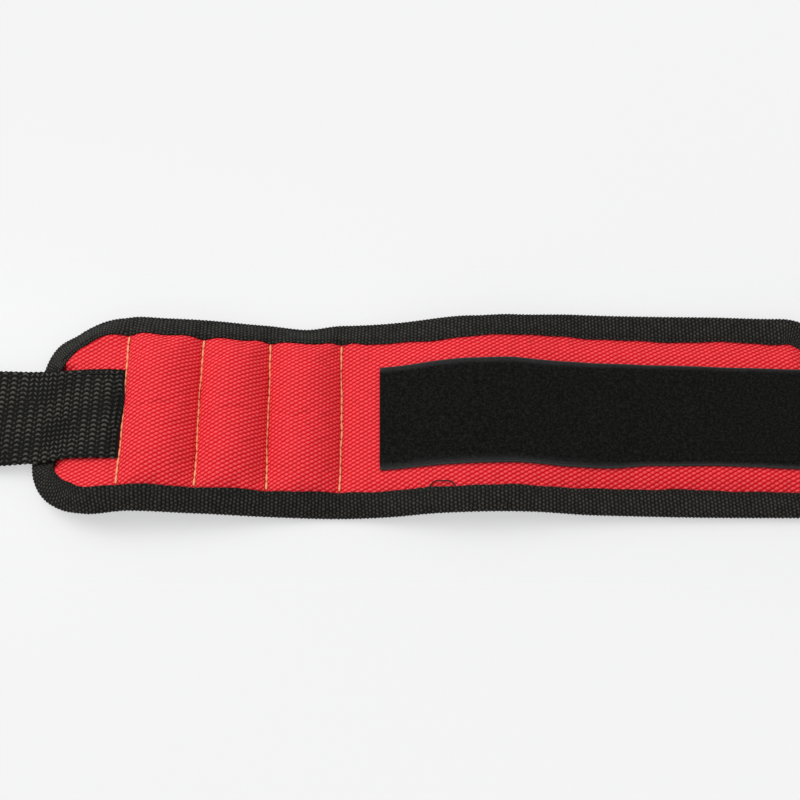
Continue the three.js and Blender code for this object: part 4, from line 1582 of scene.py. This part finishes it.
class WristbandSetStage(bpy.types.Operator):
    """Camera, pale floor and soft light"""

    bl_idname = "wristband.set_stage"
    bl_label = "Stage"

    def execute(self, context):
        stage = context.scene.wristband_stage
        target = Vector(stage.target)
        back = Vector((0, -math.cos(stage.elevation), math.sin(stage.elevation)))
        bpy.ops.object.select_all(action="DESELECT")
        bpy.ops.object.camera_add(location=target + back * stage.distance)
        camera = context.object
        camera.rotation_euler = (math.pi / 2 - stage.elevation, 0, 0)
        camera.data.lens = stage.lens
        camera.data.clip_start = CAMERA_NEAR
        context.scene.camera = camera
        bpy.ops.mesh.primitive_plane_add(size=FLOOR_SIZE, location=(0, 0, FLOOR_LEVEL))
        floor = context.object
        floor.name = "floor"
        floor.data.materials.append(pale_floor(stage))
        bpy.ops.object.light_add(type="AREA", location=KEY_PLACE)
        key = context.object
        key.data.energy = stage.key_power
        key.data.size = KEY_SIZE
        key.rotation_euler = (Vector(KEY_AIM) - key.location).to_track_quat("-Z", "Y").to_euler()
        world = bpy.data.worlds.new("studio")
        context.scene.world = world
        world.use_nodes = True
        nodes = Nodes(world.node_tree)
        sky = world.node_tree.nodes["Background"]
        light = (stage.ambient, stage.ambient, stage.ambient, 1)
        sky.inputs["Strength"].default_value = 1.0
        shown = nodes.mix(seen_directly(nodes), light, solid_colour(stage.backdrop))
        nodes.feed(sky.inputs["Color"], shown)
        context.scene.view_settings.view_transform = "Standard"
        return {"FINISHED"}


MAKERS = [WristbandFront, WristbandPockets, WristbandBinding, WristbandLining, WristbandFoam]
MAKERS += [WristbandLoopTape, WristbandStrap, WristbandLooseThread, WristbandSeamStitches]
MAKERS += [WristbandMagnets, WristbandSetStage]


class WristbandPanel(bpy.types.Panel):
    """Lists the wristband's pieces"""

    bl_idname = "VIEW3D_PT_wristband"
    bl_label = "Wristband"
    bl_space_type = "VIEW_3D"
    bl_region_type = "UI"
    bl_category = "Wristband"

    def draw(self, context):
        """Buttons for the pieces, and the values that a user may change."""
        for maker in MAKERS:
            self.layout.operator(maker.bl_idname)
        scene = context.scene
        for group in (scene.wristband_sizes, scene.wristband_colours, scene.wristband_stage):
            column = self.layout.column()
            for key in group.__annotations__:
                column.prop(group, key)


CLASSES = [WristbandSizes, WristbandColours, WristbandStage, *MAKERS, WristbandPanel]


def register():
    """Makes the classes and their settings known to Blender."""
    for made in CLASSES:
        bpy.utils.register_class(made)
    bpy.types.Scene.wristband_sizes = PointerProperty(type=WristbandSizes)
    bpy.types.Scene.wristband_colours = PointerProperty(type=WristbandColours)
    bpy.types.Scene.wristband_stage = PointerProperty(type=WristbandStage)


def unregister():
    """Takes the settings and the classes away again."""
    del bpy.types.Scene.wristband_sizes
    del bpy.types.Scene.wristband_colours
    del bpy.types.Scene.wristband_stage
    for made in reversed(CLASSES):
        bpy.utils.unregister_class(made)


def main():
    """Makes every piece and the stage."""
    register()
    bpy.ops.wristband.front()
    bpy.ops.wristband.pockets()
    bpy.ops.wristband.binding()
    bpy.ops.wristband.lining()
    bpy.ops.wristband.foam()
    bpy.ops.wristband.loop_tape()
    bpy.ops.wristband.strap()
    bpy.ops.wristband.loose_thread()
    bpy.ops.wristband.seam_stitches()
    bpy.ops.wristband.magnets()
    bpy.ops.wristband.set_stage()
    bpy.context.view_layer.update()


if __name__ == "__main__":
    main()
